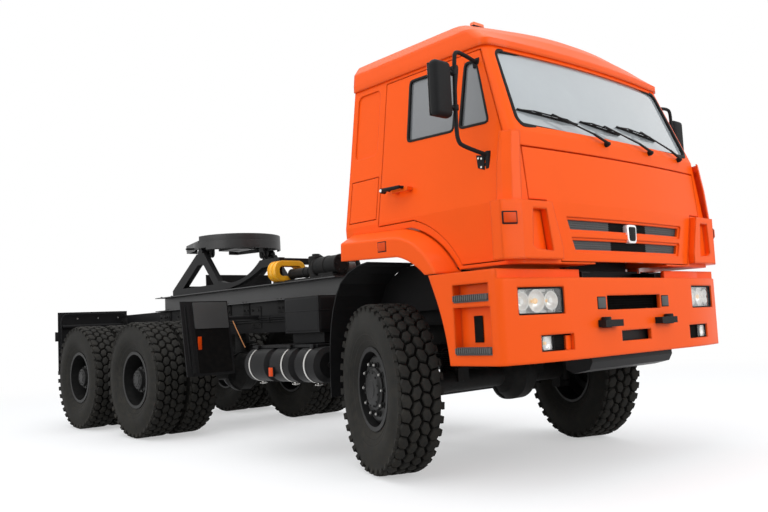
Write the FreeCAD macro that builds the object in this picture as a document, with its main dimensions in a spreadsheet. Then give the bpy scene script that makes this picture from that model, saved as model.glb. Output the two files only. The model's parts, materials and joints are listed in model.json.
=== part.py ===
"""Six-wheel-drive cab-over tractor unit, as a parametric FreeCAD document.

The vehicle stands on the ground with +Z up, its nose towards -Y and its left side towards +X.
The origin is on the ground, midway along its length. Lengths are millimetres, angles degrees.
Driving dimensions are cells of the sheet "Dimensions"; each sub-part is bound to them.
"""
import FreeCAD, Part
import math
import os
from FreeCAD import Placement, Rotation, Vector

import Sketcher

DIMENSIONS = (
    # alias, value, what it sets
    ("wheelbase", 3600, "front axle to middle axle"),
    ("bogie_spread", 1440, "middle axle to rear axle"),
    ("front_overhang", 1280, "front axle to the tow hooks' noses"),
    ("rear_overhang", 660, "rear axle to the tail plates' rear face"),
    ("tyre_diameter", 1136, "outside diameter of a tyre"),
    ("tyre_width", 315, "widest section of a tyre"),
    ("rim_diameter", 560, "outside diameter of a rim's flanges"),
    ("rim_width", 216, "a rim, over its flanges"),
    ("front_track", 2060, "between the front tyres' centres"),
    ("twin_inner_track", 1500, "between the inner rear tyres' centres"),
    ("twin_gap", 35, "between the two tyres of a rear pair"),
    ("kingpin_track", 1720, "between the two steering pins"),
    ("kingpin_radius", 26, "steering pin"),
    ("steer_rest", 20, "angle the front wheels are turned to the right at rest"),
    ("steer_arm_rise", 300, "steering arm, pin to tie rod eye, along the truck"),
    ("steer_arm_inset", 60, "steering arm, pin to tie rod eye, towards the middle"),
    ("frame_width", 865, "over the two frame rails"),
    ("frame_top", 1262, "top of the frame rails above the ground"),
    ("rail_height", 290, "depth of a frame rail"),
    ("rail_flange", 85, "width of a frame rail's flanges"),
    ("rail_plate", 10, "thickness of a frame rail"),
    ("subframe_height", 158, "depth of the upper frame that carries the coupling"),
    ("coupling_setback", 3600, "front axle to the trailer coupling's centre"),
    ("coupling_height", 1955, "coupling plate's top above the ground"),
    ("coupling_radius", 470, "coupling plate's outline"),
    ("coupling_plate", 18, "thickness of the coupling plate"),
    ("coupling_pivot", 1842, "height of the coupling's tilt axis"),
    ("trailer_pin_radius", 25.7, "seat for the trailer's pin"),
    ("pivot_pin", 20, "radius of the coupling's tilt pins"),
    ("cab_bottom", 1300, "underside of the cab's front floor"),
    ("cab_arch", 1600, "underside of the cab over the front wheels"),
    ("cab_rear", 295, "front axle to the cab's rear wall"),
    ("cab_gutter", 2660, "height of the roof gutter"),
    ("cab_wall", 40, "thickness of the cab's sides and rear"),
    ("cab_front_wall", 72, "thickness of the cab's front with its outer panel"),
    ("cab_floor", 20, "thickness of the cab's floor"),
    ("cab_pivot_setback", 1100, "cab's tilt axis ahead of the front axle"),
    ("cab_pivot_height", 1100, "cab's tilt axis above the ground"),
    ("tunnel_width", 840, "engine tunnel in the cab's floor"),
    ("tunnel_top", 1660, "top of the engine tunnel"),
    ("door_front", 1095, "door's front edge ahead of the front axle"),
    ("door_rear", 55, "door's rear edge ahead of the front axle"),
    ("door_sill", 1327, "door's lower edge"),
    ("door_gap", 6, "clearance round a door, lid or panel"),
    ("glass_thickness", 6, "window glass"),
    ("bumper_width", 2500, "over the bumper"),
    ("bumper_top", 1218, "bumper's upper edge"),
    ("bumper_bottom", 735, "bumper's lower edge"),
    ("bumper_wall", 25, "thickness of the bumper"),
    ("bumper_face", 1225, "bumper's face ahead of the front axle"),
    ("fender_width", 2500, "over the wheel arch flares"),
    ("spring_width", 90, "a leaf spring"),
    ("front_spring_track", 860, "between the front springs"),
    ("rear_spring_track", 1010, "between the rear springs"),
    ("axle_radius", 75, "axle tubes"),
    ("pinion_flange", 380, "a driven rear axle's centre to its front flange"),
    ("through_flange", 320, "middle axle's centre to its rear flange"),
    ("pinion_rise", 60, "a driven rear axle's centre up to its shafts"),
    ("tow_eye_radius", 17, "hole for a tow pin in each hook"),
    ("running_gap", 0.3, "clearance where two bodies nearly touch"),
)


class Size:
    """A dimension that knows its number and the sheet formula that gives it."""

    def __init__(self, formula, number):
        self.formula = str(formula)
        self.number = float(number)

    @staticmethod
    def of(value):
        """Wraps a plain number; a Size comes back as it is."""
        return value if isinstance(value, Size) else Size(repr(float(value)), value)

    def _join(self, sign, other, number):
        return Size(f"({self.formula} {sign} {Size.of(other).formula})", number)

    def __add__(self, other):
        return self._join("+", other, self.number + float(other))

    def __sub__(self, other):
        return self._join("-", other, self.number - float(other))

    def __mul__(self, other):
        return self._join("*", other, self.number * float(other))

    def __truediv__(self, other):
        return self._join("/", other, self.number / float(other))

    def __radd__(self, other):
        return Size.of(other) + self

    def __rsub__(self, other):
        return Size.of(other) - self

    def __rmul__(self, other):
        return self * other

    def __neg__(self):
        return Size(f"(-{self.formula})", -self.number)

    def __float__(self):
        return self.number


doc = FreeCAD.newDocument("TractorUnit")


def make_sheet(table):
    """Fills the sheet and returns its cells as sizes, by alias."""
    sheet = doc.addObject("Spreadsheet::Sheet", "Dimensions")
    cells = {}
    for row, (alias, value, note) in enumerate(table, start=1):
        sheet.set(f"A{row}", alias)
        sheet.set(f"B{row}", str(value))
        sheet.set(f"C{row}", note)
        sheet.setAlias(f"B{row}", alias)
        cells[alias] = Size(f"Dimensions.{alias}", value)
    doc.recompute()
    return cells


class Cells:
    """The sheet's cells as attributes."""

    def __init__(self, cells):
        self.__dict__.update(cells)


dim = Cells(make_sheet(DIMENSIONS))

# ---------------------------------------------------------------- places worked out from the sheet
total_length = dim.front_overhang + dim.wheelbase + dim.bogie_spread + dim.rear_overhang
front_axle = dim.front_overhang - total_length / 2
mid_axle = front_axle + dim.wheelbase
rear_axle = mid_axle + dim.bogie_spread
wheel_height = dim.tyre_diameter / 2
rail_outside = dim.frame_width / 2
twin_outer_track = dim.twin_inner_track + (dim.tyre_width + dim.twin_gap) * 2
rail_bottom = dim.frame_top - dim.rail_height
subframe_top = dim.frame_top + dim.subframe_height
coupling = front_axle + dim.coupling_setback
pivot_ahead = front_axle - dim.cab_pivot_setback
ground = Size.of(0)


def aft(distance):
    """A place along the truck, that far behind the front axle."""
    return front_axle + distance


# ---------------------------------------------------------------- ways to make a piece
TURN = {
    "X": Rotation(Vector(0, 1, 0), 90),
    "Y": Rotation(Vector(1, 0, 0), -90),
    "Z": Rotation(),
}


def bind(item, paths):
    """Binds properties of an object to sizes."""
    for path, size in paths.items():
        item.setExpression(path, Size.of(size).formula)


def place(item, corner):
    """Binds an object's position."""
    bind(item, {f"Placement.Base.{axis}": size for axis, size in zip("xyz", corner)})


def box(name, low, high):
    """A block between two opposite corners."""
    item = doc.addObject("Part::Box", name)
    sides = [Size.of(b) - a for a, b in zip(low, high)]
    bind(item, dict(zip(("Length", "Width", "Height"), sides)))
    place(item, low)
    return item


def rod(name, start, along, length, radius):
    """A cylinder from a start point along X, Y or Z."""
    item = doc.addObject("Part::Cylinder", name)
    item.Placement = Placement(Vector(), TURN[along])
    bind(item, {"Radius": radius, "Height": length})
    place(item, start)
    return item


def fuse(name, items):
    """Joins pieces into one solid."""
    item = doc.addObject("Part::MultiFuse", name)
    item.Shapes = items
    return item


def cut(name, base, tools):
    """Takes the tools away from the base."""
    item = doc.addObject("Part::Cut", name)
    item.Base = base
    item.Tool = tools[0] if len(tools) == 1 else group(name + "_tools", tools)
    return item


def group(name, items):
    """Keeps pieces together in one sub-part as separate solids."""
    item = doc.addObject("Part::Compound", name)
    item.Links = items
    return item


def other_side(item):
    """The same piece on the other side of the truck."""
    copy = doc.addObject("Part::Mirroring", item.Name + "_mirrored")
    copy.Source = item
    copy.Normal = Vector(1, 0, 0)
    return copy


def both_sides(name, items):
    """Pieces and their mirror images."""
    return group(name, items + [other_side(item) for item in items])


def arc_between(start, end, radius):
    """Arc from start to end; a positive radius bends it to the left of its chord."""
    chord = end - start
    normal = Vector(-chord.y, chord.x, 0).normalize()
    reach = math.sqrt(max(radius * radius - chord.Length ** 2 / 4, 0))
    centre = (start + end) * 0.5 + normal * math.copysign(reach, radius)
    first, last = (start, end) if radius > 0 else (end, start)
    angle = [math.atan2(p.y - centre.y, p.x - centre.x) for p in (first, last)]
    if angle[1] < angle[0]:
        angle[1] += 2 * math.pi
    circle = Part.Circle(centre, Vector(0, 0, 1), abs(radius))
    return Part.ArcOfCircle(circle, angle[0], angle[1])


def outline(body, role, corners):
    """A closed sketch; a corner is (across, up) or (across, up, radius of the edge after it)."""
    sketch = body.newObject("Sketcher::SketchObject", body.Name + "_sketch")
    plane = [item for item in body.Origin.OriginFeatures if item.Role == role][0]
    sketch.AttachmentSupport = [(plane, "")]
    sketch.MapMode = "FlatFace"
    points = [Vector(float(c[0]), float(c[1]), 0) for c in corners]
    edges = []
    for index, corner in enumerate(corners):
        start, end = points[index], points[(index + 1) % len(points)]
        radius = corner[2] if len(corner) > 2 else None
        if radius is None:
            edges.append((sketch.addGeometry(Part.LineSegment(start, end), False), 1, 2))
            continue
        number = sketch.addGeometry(arc_between(start, end, float(radius)), False)
        edges.append((number, 1, 2) if float(radius) > 0 else (number, 2, 1))
    for index, corner in enumerate(corners):
        edge, head, _ = edges[index]
        before, _, tail = edges[index - 1]
        sketch.addConstraint(Sketcher.Constraint("Coincident", before, tail, edge, head))
        for kind, size in (("DistanceX", corner[0]), ("DistanceY", corner[1])):
            rule = Sketcher.Constraint(kind, -1, 1, edge, head, float(size))
            bind(sketch, {f"Constraints[{sketch.addConstraint(rule)}]": size})
        if len(corner) > 2:
            radius = Size.of(corner[2])
            radius = radius if radius.number > 0 else -radius
            rule = Sketcher.Constraint("Radius", edge, radius.number)
            bind(sketch, {f"Constraints[{sketch.addConstraint(rule)}]": radius})
    return sketch


def plate(name, plane, corners, start, depth):
    """A sketch padded along the axis it faces: YZ along +X, XZ along +Y, XY along +Z."""
    body = doc.addObject("PartDesign::Body", name)
    sketch = outline(body, f"{plane}_Plane", corners)
    pad = body.newObject("PartDesign::Pad", name + "_pad")
    pad.Profile = sketch
    pad.Reversed = plane == "XZ"
    bind(pad, {"Length": depth})
    axis = {"YZ": "x", "XZ": "y", "XY": "z"}[plane]
    bind(body, {f"Placement.Base.{axis}": start})
    return body


def turned(name, axis, corners, centre):
    """A sketch of (along, radius) revolved about X, Y or Z through a centre."""
    body = doc.addObject("PartDesign::Body", name)
    if axis == "Z":
        corners = [(c[1], c[0]) + tuple(-r for r in c[2:]) for c in corners]
    sketch = outline(body, "YZ_Plane" if axis == "Y" else "XZ_Plane", corners)
    turn = body.newObject("PartDesign::Revolution", name + "_turn")
    turn.Profile = sketch
    turn.ReferenceAxis = (sketch, ["V_Axis" if axis == "Z" else "H_Axis"])
    turn.Angle = 360
    place(body, centre)
    return body


def feature(name, shape):
    """A shape made with Part's own functions."""
    item = doc.addObject("Part::Feature", name)
    item.Shape = shape
    return item


nodes = {}


def node(label, item):
    """Names a finished sub-part."""
    item.Label = label
    nodes[label] = item
    return item


# ---------------------------------------------------------------- chassis
def frame_rails():
    """Two channel rails, their crossmembers, the nose plates and the cab's mounts."""
    outside, plate_size = rail_outside, dim.rail_plate
    rear_end = rear_axle + dim.rear_overhang - 30
    channel = (
        (outside, rail_bottom),
        (outside, dim.frame_top),
        (outside - dim.rail_flange, dim.frame_top),
        (outside - dim.rail_flange, dim.frame_top - plate_size),
        (outside - plate_size, dim.frame_top - plate_size),
        (outside - plate_size, rail_bottom + plate_size),
        (outside - dim.rail_flange, rail_bottom + plate_size),
        (outside - dim.rail_flange, rail_bottom),
    )
    rail = plate("rail", "XZ", channel, aft(-1136), rear_end - aft(-1136))
    pieces = [rail, other_side(rail)]
    inside = outside - plate_size
    crossmembers = ((-1130, 70), (1450, 60), (2550, 60), (4080, 60), (4500, 60), (5560, 60))
    for number, (setback, depth) in enumerate(crossmembers):
        low = (-inside, aft(setback), rail_bottom + 40)
        high = (inside, aft(setback) + depth, dim.frame_top - 40)
        pieces.append(box(f"crossmember_{number}", low, high))
    nose = box("nose_plate", (outside - 12, aft(-1180), Size.of(770)),
               (outside, aft(-960), rail_bottom + 20))
    beam = box("nose_beam", (430 - dim.bumper_width / 2, aft(-1180), Size.of(770)),
               (dim.bumper_width / 2 - 430, aft(-1100), Size.of(900)))
    pieces += [nose, other_side(nose), beam]
    middle = box("nose_screen", (-inside, aft(-1005), rail_bottom + 40),
                 (inside, aft(-995), dim.frame_top + 15))
    wing = box("nose_wing", (outside + 72.5, aft(-1005), Size.of(1000)),
               (dim.bumper_width / 2 - 210, aft(-995), Size.of(1275)))
    wing_foot = box("nose_wing_foot", (outside - 5, aft(-1005), Size.of(1000)),
                    (outside + 77.5, aft(-995), Size.of(1045)))
    pieces += [middle, wing, other_side(wing), wing_foot, other_side(wing_foot)]
    pivot = rod("cab_pivot_pin", (outside - 5, pivot_ahead, dim.cab_pivot_height), "X",
                Size.of(75), dim.pivot_pin)
    pieces += [pivot, other_side(pivot)]
    post = box("cab_post", (outside - 60, aft(170), dim.frame_top - 5),
               (outside, aft(230), Size.of(1560)))
    bridge = box("cab_bridge", (Size.of(-620), aft(160), Size.of(1540)),
                 (Size.of(620), aft(240), dim.cab_arch - 28))
    pad = rod("cab_pad", (Size.of(540), aft(200), dim.cab_arch - 30), "Z",
              Size.of(30) - dim.running_gap, Size.of(45))
    pieces += [post, other_side(post), bridge, pad, other_side(pad)]
    return node("frame_rails", fuse("frame", pieces))


def subframe():
    """Open channels on the rails that spread the coupling's load."""
    inner, outer = Size.of(370), Size.of(500)
    top, sheet = subframe_top, Size.of(9)
    channel = (
        (inner, dim.frame_top),
        (outer, dim.frame_top),
        (outer, dim.frame_top + sheet),
        (inner + sheet, dim.frame_top + sheet),
        (inner + sheet, top - sheet),
        (outer, top - sheet),
        (outer, top),
        (inner, top),
    )
    rail = plate("upper_rail", "XZ", channel, aft(1250), Size.of(3350))
    pieces = [rail, other_side(rail)]
    for number, setback in enumerate((1260, 2880, 4540)):
        low = (-inner - 5, aft(setback), dim.frame_top + 12)
        high = (inner + 5, aft(setback + 50), top - 8)
        pieces.append(box(f"upper_crossmember_{number}", low, high))
    return node("subframe", fuse("upper_frame", pieces))


def coupling_stand():
    """Side frames, base and cross tubes that carry the trailer coupling, with lead-in ramps."""
    foot = subframe_top
    top = dim.coupling_pivot - 6
    side = (
        (coupling - 470, foot),
        (coupling + 640, foot),
        (coupling + 640, foot + 60),
        (coupling + 75, top, ),
        (coupling - 75, top),
        (coupling - 400, foot + 60),
        (coupling - 470, foot + 60),
    )
    frame = plate("stand_side", "YZ", side, Size.of(400), Size.of(60))
    window = (
        (coupling - 270, foot + 70),
        (coupling + 400, foot + 70),
        (coupling + 60, top - 120),
        (coupling - 60, top - 120),
    )
    hole = plate("stand_window", "YZ", window, Size.of(390), Size.of(80))
    side_frame = cut("stand_side_open", frame, [hole])
    boss = rod("stand_boss", (Size.of(400), coupling, dim.coupling_pivot), "X", Size.of(60),
               Size.of(48))
    ramp_profile = (
        (coupling - 1480, foot + 175),
        (coupling - 1180, foot + 165, Size.of(2200)),
        (coupling - 380, foot),
        (coupling - 280, foot),
        (coupling - 380, foot + 100, Size.of(-900)),
        (coupling - 1150, foot + 240),
        (coupling - 1480, foot + 240),
    )
    ramp = plate("stand_ramp", "YZ", ramp_profile, Size.of(400), Size.of(60))
    post = box("stand_post", (Size.of(405), coupling - 1440, foot),
               (Size.of(455), coupling - 1360, foot + 190))
    pin = rod("stand_pin", (Size.of(300), coupling, dim.coupling_pivot), "X", Size.of(130),
              dim.pivot_pin)
    pieces = [side_frame, boss, ramp, post, pin]
    pieces += [other_side(piece) for piece in pieces]
    for number, (setback, high_edge) in enumerate(((-30, 190), (470, 100))):
        low = (Size.of(-410), coupling + setback, foot)
        high = (Size.of(410), coupling + setback + 12, foot + high_edge)
        pieces.append(box(f"stand_web_{number}", low, high))
    crossbars = ((-1470, 180, 235), (-420, 0, 60), (560, 0, 55))
    for number, (setback, low_edge, high_edge) in enumerate(crossbars):
        low = (Size.of(-410), coupling + setback, foot + low_edge)
        high = (Size.of(410), coupling + setback + 70, foot + high_edge)
        pieces.append(box(f"stand_crossbar_{number}", low, high))
    return node("coupling_stand", fuse("stand", pieces))


def coupling_plate():
    """Tilting plate with its throat for the trailer's pin, skirt, ears and release handle."""
    radius, top = float(dim.coupling_radius), float(dim.coupling_height)
    thick, centre = float(dim.coupling_plate), float(coupling)
    under = top - thick
    disc = Part.makeCylinder(radius, thick, Vector(0, centre, under))
    horns = prism_up(((-radius, centre), (radius, centre), (330, centre + 540),
                      (-330, centre + 540)), under, thick)
    skirt = Part.makeCylinder(radius, 70, Vector(0, centre, under - 70))
    skirt = skirt.cut(Part.makeCylinder(radius - 16, 70, Vector(0, centre, under - 70)))
    skirt = skirt.cut(Part.makeBox(1200, 800, 80, Vector(-600, centre - 120, under - 74)))
    rim = prism_up(((-radius, centre), (radius, centre), (330, centre + 540),
                    (-330, centre + 540)), under - 46, 46)
    rim = rim.fuse(Part.makeCylinder(radius, 46, Vector(0, centre, under - 46)))
    hollow = prism_up(((16 - radius, centre - 10), (radius - 16, centre - 10),
                       (315, centre + 524), (-315, centre + 524)), under - 48, 48)
    hollow = hollow.fuse(Part.makeCylinder(radius - 16, 48, Vector(0, centre, under - 48)))
    tip = centre + radius + 90
    mouth = prism_up(((-24, centre), (24, centre), (24, centre + 160), (219, tip),
                      (-219, tip), (-24, centre + 160)), under - 60, 60)
    skirt = skirt.fuse(rim.cut(hollow).cut(mouth))
    throat = prism_up(((-20, centre), (20, centre), (20, centre + 160), (215, tip),
                       (-215, tip), (-20, centre + 160)), under - 5, thick + 10)
    seat = Part.makeCylinder(float(dim.trailer_pin_radius), thick + 60,
                             Vector(0, centre, under - 55))
    housing = Part.makeBox(260, 330, 50, Vector(-130, centre - 150, under - 50))
    housing = housing.cut(prism_up(((-20, centre), (20, centre), (20, centre + 200),
                                    (-20, centre + 200)), under - 55, 60))
    plate_shape = disc.fuse([horns, skirt, housing]).cut([throat, seat])
    pivot = float(dim.coupling_pivot)
    for side in (-1, 1):
        for offset in (318, 358):
            left = side * offset - 11
            ear = Part.makeBox(22, 90, under - pivot + 2, Vector(left, centre - 45, pivot))
            ear = ear.fuse(Part.makeCylinder(45, 22, Vector(left, centre, pivot),
                                             Vector(1, 0, 0)))
            hole = Part.makeCylinder(float(dim.pivot_pin + dim.running_gap), 24,
                                     Vector(left - 1, centre, pivot), Vector(1, 0, 0))
            plate_shape = plate_shape.fuse(ear).cut(hole)
    handle = Part.makeCylinder(9, 420, Vector(-120, centre + 60, under - 28),
                               Vector(-0.9, 0.44, 0))
    plate_shape = plate_shape.fuse(handle)
    return node("coupling_plate", feature("deck", plate_shape.removeSplitter()))


def prism_up(points, bottom, height):
    """A flat outline in X and Y, raised."""
    face = Part.Face(Part.makePolygon([Vector(x, y, bottom) for x, y in points + points[:1]]))
    return face.extrude(Vector(0, 0, height))


def prism_across(points, start, width):
    """A flat outline in Y and Z, extruded along X. A third value marks an arc's middle."""
    face = Part.Face(wire_from([Vector(start, y, z) for y, z, *_ in points],
                               [bool(p[2:]) for p in points]))
    return face.extrude(Vector(width, 0, 0))


def prism_along(points, start, depth):
    """A flat outline in X and Z, extruded along Y."""
    face = Part.Face(wire_from([Vector(x, start, z) for x, z, *_ in points],
                               [bool(p[2:]) for p in points]))
    return face.extrude(Vector(0, depth, 0))


def wire_from(points, middles):
    """Lines between points; a point marked as a middle bends its neighbours into an arc."""
    edges = []
    count = len(points)
    index = 0
    while index < count:
        following = (index + 1) % count
        if middles[following]:
            last = (index + 2) % count
            edges.append(Part.Arc(points[index], points[following], points[last]).toShape())
            index += 2
        else:
            edges.append(Part.LineSegment(points[index], points[following]).toShape())
            index += 1
    return Part.Wire(edges)


# ---------------------------------------------------------------- cab shape
CAB_LEVELS = (
    # height, half width, nose at the middle, nose at the corner: ahead of the front axle
    (1300, 1112, 1240, 1190),
    (1665, 1132, 1240, 1190),
    (2080, 1070, 1200, 1160),
    (2660, 990, 1000, 945),
)
ROOF_LEVELS = (
    (2660, 1002, 1012, 957),
    (2705, 1002, 1012, 957),
    (2790, 992, 955, 850),
    (2855, 945, 885, 745),
    (2900, 860, 810, 635),
    (2922, 700, 690, 490),
)


def cab_ring(level, side_inset, front_inset, corner=70.0):
    """Plan outline of the cab at one height."""
    height, half, nose, shoulder = level
    half = half - side_inset
    nose = float(front_axle) - nose + front_inset
    shoulder = float(front_axle) - shoulder + front_inset
    rear = float(aft(dim.cab_rear)) - side_inset
    soft = corner * 0.293
    points = [
        Vector(half, rear, height), Vector(half, shoulder + corner, height),
        Vector(half - soft, shoulder + soft, height), Vector(half - corner, shoulder, height),
        Vector(0, nose, height), Vector(corner - half, shoulder, height),
        Vector(soft - half, shoulder + soft, height), Vector(-half, shoulder + corner, height),
        Vector(-half, rear, height),
    ]
    return wire_from(points, [False, False, True, False, True, False, True, False, False])


def cab_mass(levels, side_inset=0.0, front_inset=0.0, lift=0.0, drop=0.0):
    """Solid of the cab's outside, or of a layer inside it."""
    levels = [list(level) for level in levels]
    levels[0][0] += lift
    levels[-1][0] -= drop
    rings = [cab_ring(level, side_inset, front_inset) for level in levels]
    return Part.makeLoft(rings, True, True)


def roof_fall(lower=0.0):
    """What the roof's rounded rear edge takes from its top; the room inside takes more."""
    return prism_across(((float(aft(0)), 2925 - lower), (float(aft(200)), 2900 - lower, True),
                         (float(aft(320)), 2830 - lower), (float(aft(320)), 3000),
                         (float(aft(0)), 3000)), -1100, 2200)


def arch_block(grow=0.0, rise=0.0):
    """What the front wheels' arches take from the cab, the full width."""
    arch = float(dim.cab_arch) + rise
    low = float(dim.cab_bottom) - 60
    front = float(aft(-745)) - grow
    return prism_across((
        (front, low), (front, float(dim.cab_bottom)),
        (front + 125, arch - 140, True), (float(aft(-360)) - grow, arch),
        (float(aft(500)), arch), (float(aft(500)), low)), -1400, 2800)


def door_outline(margin=0.0):
    """Side view of a door; a margin widens it."""
    front, rear = float(aft(-dim.door_front)) - margin, float(aft(-dim.door_rear)) + margin
    sill = float(dim.door_sill) - margin
    over = float(dim.cab_arch) + 46 - margin
    return (
        (front, sill), (float(aft(-770)) - margin * 0.4, sill),
        (float(aft(-650)) - margin * 0.7, sill + 165 - margin * 0.1, True),
        (float(aft(-385)), over), (rear, over), (rear, 2632 + margin),
        (float(aft(-900)) - margin, 2632 + margin), (front, 2080 + margin * 0.2))


def front_panel_outline(margin=0.0):
    """Front view of the hinged front panel; a margin widens it."""
    right = ((988 + margin * 5 / 3, 1981 + margin * 5 / 3), (985 + margin, 1672 - margin),
             (835 + margin, 1672 - margin), (735 + margin, 1315 - margin))
    left = tuple((-x, z) for x, z in reversed(right))
    return right + left


def windscreen_outline():
    """Front view of the windscreen's opening."""
    right = ((940, 2122), (962, 2133, True), (968, 2160), (918, 2605), (908, 2626, True),
             (885, 2634))
    left = tuple((-point[0],) + point[1:] for point in reversed(right))
    return right + left


def side_windows(side, inset=0.0):
    """The door's main window and its quarter light, seen from the side."""
    start = -1300 if side < 0 else 900
    main = ((-292, 2178), (-286, 2596), (-722, 2586), (-704, 2162))
    quarter = ((-758, 2166), (-780, 2580), (-874, 2572), (-992, 2156))
    solids = []
    for corners in (main, quarter):
        middle_y = sum(c[0] for c in corners) / 4
        middle_z = sum(c[1] for c in corners) / 4
        points = [(float(aft(y)) + math.copysign(inset, middle_y - y),
                   z + math.copysign(inset, middle_z - z)) for y, z in corners]
        solids.append(prism_across(tuple(points), start, 400))
    return solids


def pressing_outline():
    """The shallow pressing in the cab's side behind a door."""
    front, rear, low, high = float(aft(13)), float(aft(246)), 2150, 2615
    soft, middle = 40, 12
    return ((front + soft, low), (rear - soft, low), (rear - middle, low + middle, True),
            (rear, low + soft), (rear, high - soft), (rear - middle, high - middle, True),
            (rear - soft, high), (front + soft, high), (front + middle, high - middle, True),
            (front, high - soft), (front, low + soft), (front + middle, low + middle, True))


def lid_outline(margin=0.0):
    """The locker lid behind the door."""
    front, rear = float(aft(-20)) - margin, float(aft(255)) + margin
    return ((front, 1700 - margin), (rear, 1700 - margin), (rear, 1985 + margin),
            (front, 1985 + margin))


def cab():
    """Cab shell, roof, glass, doors, lids and front panel, all cut from one outside form."""
    wall, front_wall = float(dim.cab_wall), float(dim.cab_front_wall)
    floor = float(dim.cab_floor)
    glass = float(dim.glass_thickness)
    gap = float(dim.door_gap)
    outside = cab_mass(CAB_LEVELS)
    tunnel_half, tunnel_top = float(dim.tunnel_width) / 2, float(dim.tunnel_top)

    def tunnel(grow):
        length = float(aft(600)) - float(aft(-1300))
        return Part.makeBox(2 * (tunnel_half + grow), length, tunnel_top - 1200 + grow,
                            Vector(-tunnel_half - grow, float(aft(-1300)), 1200))

    body = outside.cut([arch_block(), tunnel(0)])
    inside = cab_mass(CAB_LEVELS, wall, front_wall, lift=floor)
    inside = inside.cut([arch_block(floor, wall), tunnel(floor)])
    shell = body.cut(inside)
    panel_layer = outside.cut(cab_mass(CAB_LEVELS, 30, 30))
    bay_layer = outside.cut(cab_mass(CAB_LEVELS, 36, 36))
    nose = float(aft(-1400))
    panel = panel_layer.common(prism_along(front_panel_outline(), nose, 500))
    shell = shell.cut(bay_layer.common(prism_along(front_panel_outline(gap), nose, 500)))
    slots = []
    pressing = outside.cut(cab_mass(CAB_LEVELS, 11, 11))
    for top, bottom, wide_top, wide_bottom in ((1566, 1508, 650, 628), (1444, 1386, 612, 590)):
        slots.append(prism_along(((wide_top, top), (wide_bottom, bottom),
                                  (-wide_bottom, bottom), (-wide_top, top)), nose, 300))
        wide_top, wide_bottom, top, bottom = (wide_top + 22, wide_bottom + 14, top + 16,
                                              bottom - 16)
        slots.append(pressing.common(prism_along((
            (wide_top - 14, top), (wide_top - 3, top - 4, True), (wide_top, top - 16),
            (wide_bottom, bottom), (-wide_bottom, bottom), (-wide_top, top - 16),
            (3 - wide_top, top - 4, True), (14 - wide_top, top)), nose, 300)))
    panel = panel.cut(slots)
    node("front_panel", feature("nose_panel", panel))

    screen = prism_along(windscreen_outline(), nose, 700)
    shell = shell.cut(screen)
    glass_layer = cab_mass(CAB_LEVELS, 14, 14).cut(cab_mass(CAB_LEVELS, 14 + glass, 14 + glass))
    node("windscreen", feature("screen", glass_layer.common(screen)))

    rear_window = prism_along(((640, 2180), (640, 2540), (-640, 2540), (-640, 2180)),
                              float(aft(dim.cab_rear)) - 200, 300)
    shell = shell.cut(rear_window)
    rear_glass = Part.makeBox(1280, glass, 360,
                              Vector(-640, float(aft(dim.cab_rear)) - 23, 2180))
    node("rear_window", feature("rear_screen", rear_glass))

    for side, word in ((-1, "right"), (1, "left")):
        start = -1300 if side < 0 else 906
        opening = prism_across(door_outline(gap), -1300 if side < 0 else 890, 410)
        door = body.cut(cab_mass(CAB_LEVELS, wall, wall))
        door = door.common(prism_across(door_outline(), start, 394))
        windows = side_windows(side)
        door = door.cut(windows)
        shell = shell.cut(opening)
        handle = Part.makeBox(18, 150, 26, Vector(side * 1140 - 9, float(aft(-365)), 1840))
        for offset in (0, 122):
            foot = Part.makeBox(60, 28, 22, Vector(side * 1110 - 30, float(aft(-365)) + offset,
                                                   1842))
            handle = handle.fuse(foot)
        door = door.fuse(handle.cut(cab_mass(CAB_LEVELS, 20, 20)))
        node(f"door_{word}", feature(f"door_shape_{word}", door))
        panes = Part.makeCompound([glass_layer.common(window) for window in windows])
        node(f"door_glass_{word}", feature(f"door_panes_{word}", panes))
        pressing = outside.cut(cab_mass(CAB_LEVELS, 9, 9))
        shell = shell.cut(pressing.common(prism_across(pressing_outline(), start, 394)))
        lid_layer = outside.cut(cab_mass(CAB_LEVELS, 22, 22))
        lid_bay = outside.cut(cab_mass(CAB_LEVELS, 28, 28))
        lid = lid_layer.common(prism_across(lid_outline(), start, 394))
        shell = shell.cut(lid_bay.common(prism_across(lid_outline(gap), start, 394)))
        shell = shell.fuse(rest_pads(side))
        node(f"side_lid_{word}", feature(f"lid_shape_{word}", lid))

    for side in (-1, 1):
        shell = shell.fuse(cab_lug(side))
    shell = shell.fuse(panel_pads())
    node("cab_shell", feature("shell", shell))

    roof = cab_mass(ROOF_LEVELS).cut(roof_fall())
    hollow = cab_mass(ROOF_LEVELS, 34, 60, lift=-1, drop=26).cut(roof_fall(34))
    roof = roof.cut(hollow)
    node("roof", feature("roof_shape", roof))


def rest_pads(side):
    """Rubber stops behind a locker lid and hinge blocks ahead of a door."""
    gap, clear = float(dim.door_gap), float(dim.running_gap)
    behind = cab_mass(CAB_LEVELS, 22 + clear, 22 + clear).cut(cab_mass(CAB_LEVELS, 30, 30))
    pads = []
    for height in (1725, 1930):
        spot = Part.makeBox(400, 24, 24, Vector(-1300 if side < 0 else 906,
                                                float(aft(105)), height))
        pads.append(behind.common(spot))
    front = float(aft(-dim.door_front))
    for height in (1480, 1960):
        half = 1118 if height < 1700 else 1070
        pads.append(Part.makeBox(24, gap + 6 - clear, 90, Vector(
            side * half - 12, front - gap - 6, height)))
    return pads


def panel_pads():
    """Rubber stops behind the hinged front panel."""
    clear = float(dim.running_gap)
    behind = cab_mass(CAB_LEVELS, 30 + clear, 30 + clear).cut(cab_mass(CAB_LEVELS, 38, 38))
    spots = [Part.makeBox(30, 300, 30, Vector(x, float(aft(-1350)), 1800))
             for x in (-600, 570)]
    return [behind.common(spot) for spot in spots]


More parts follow.
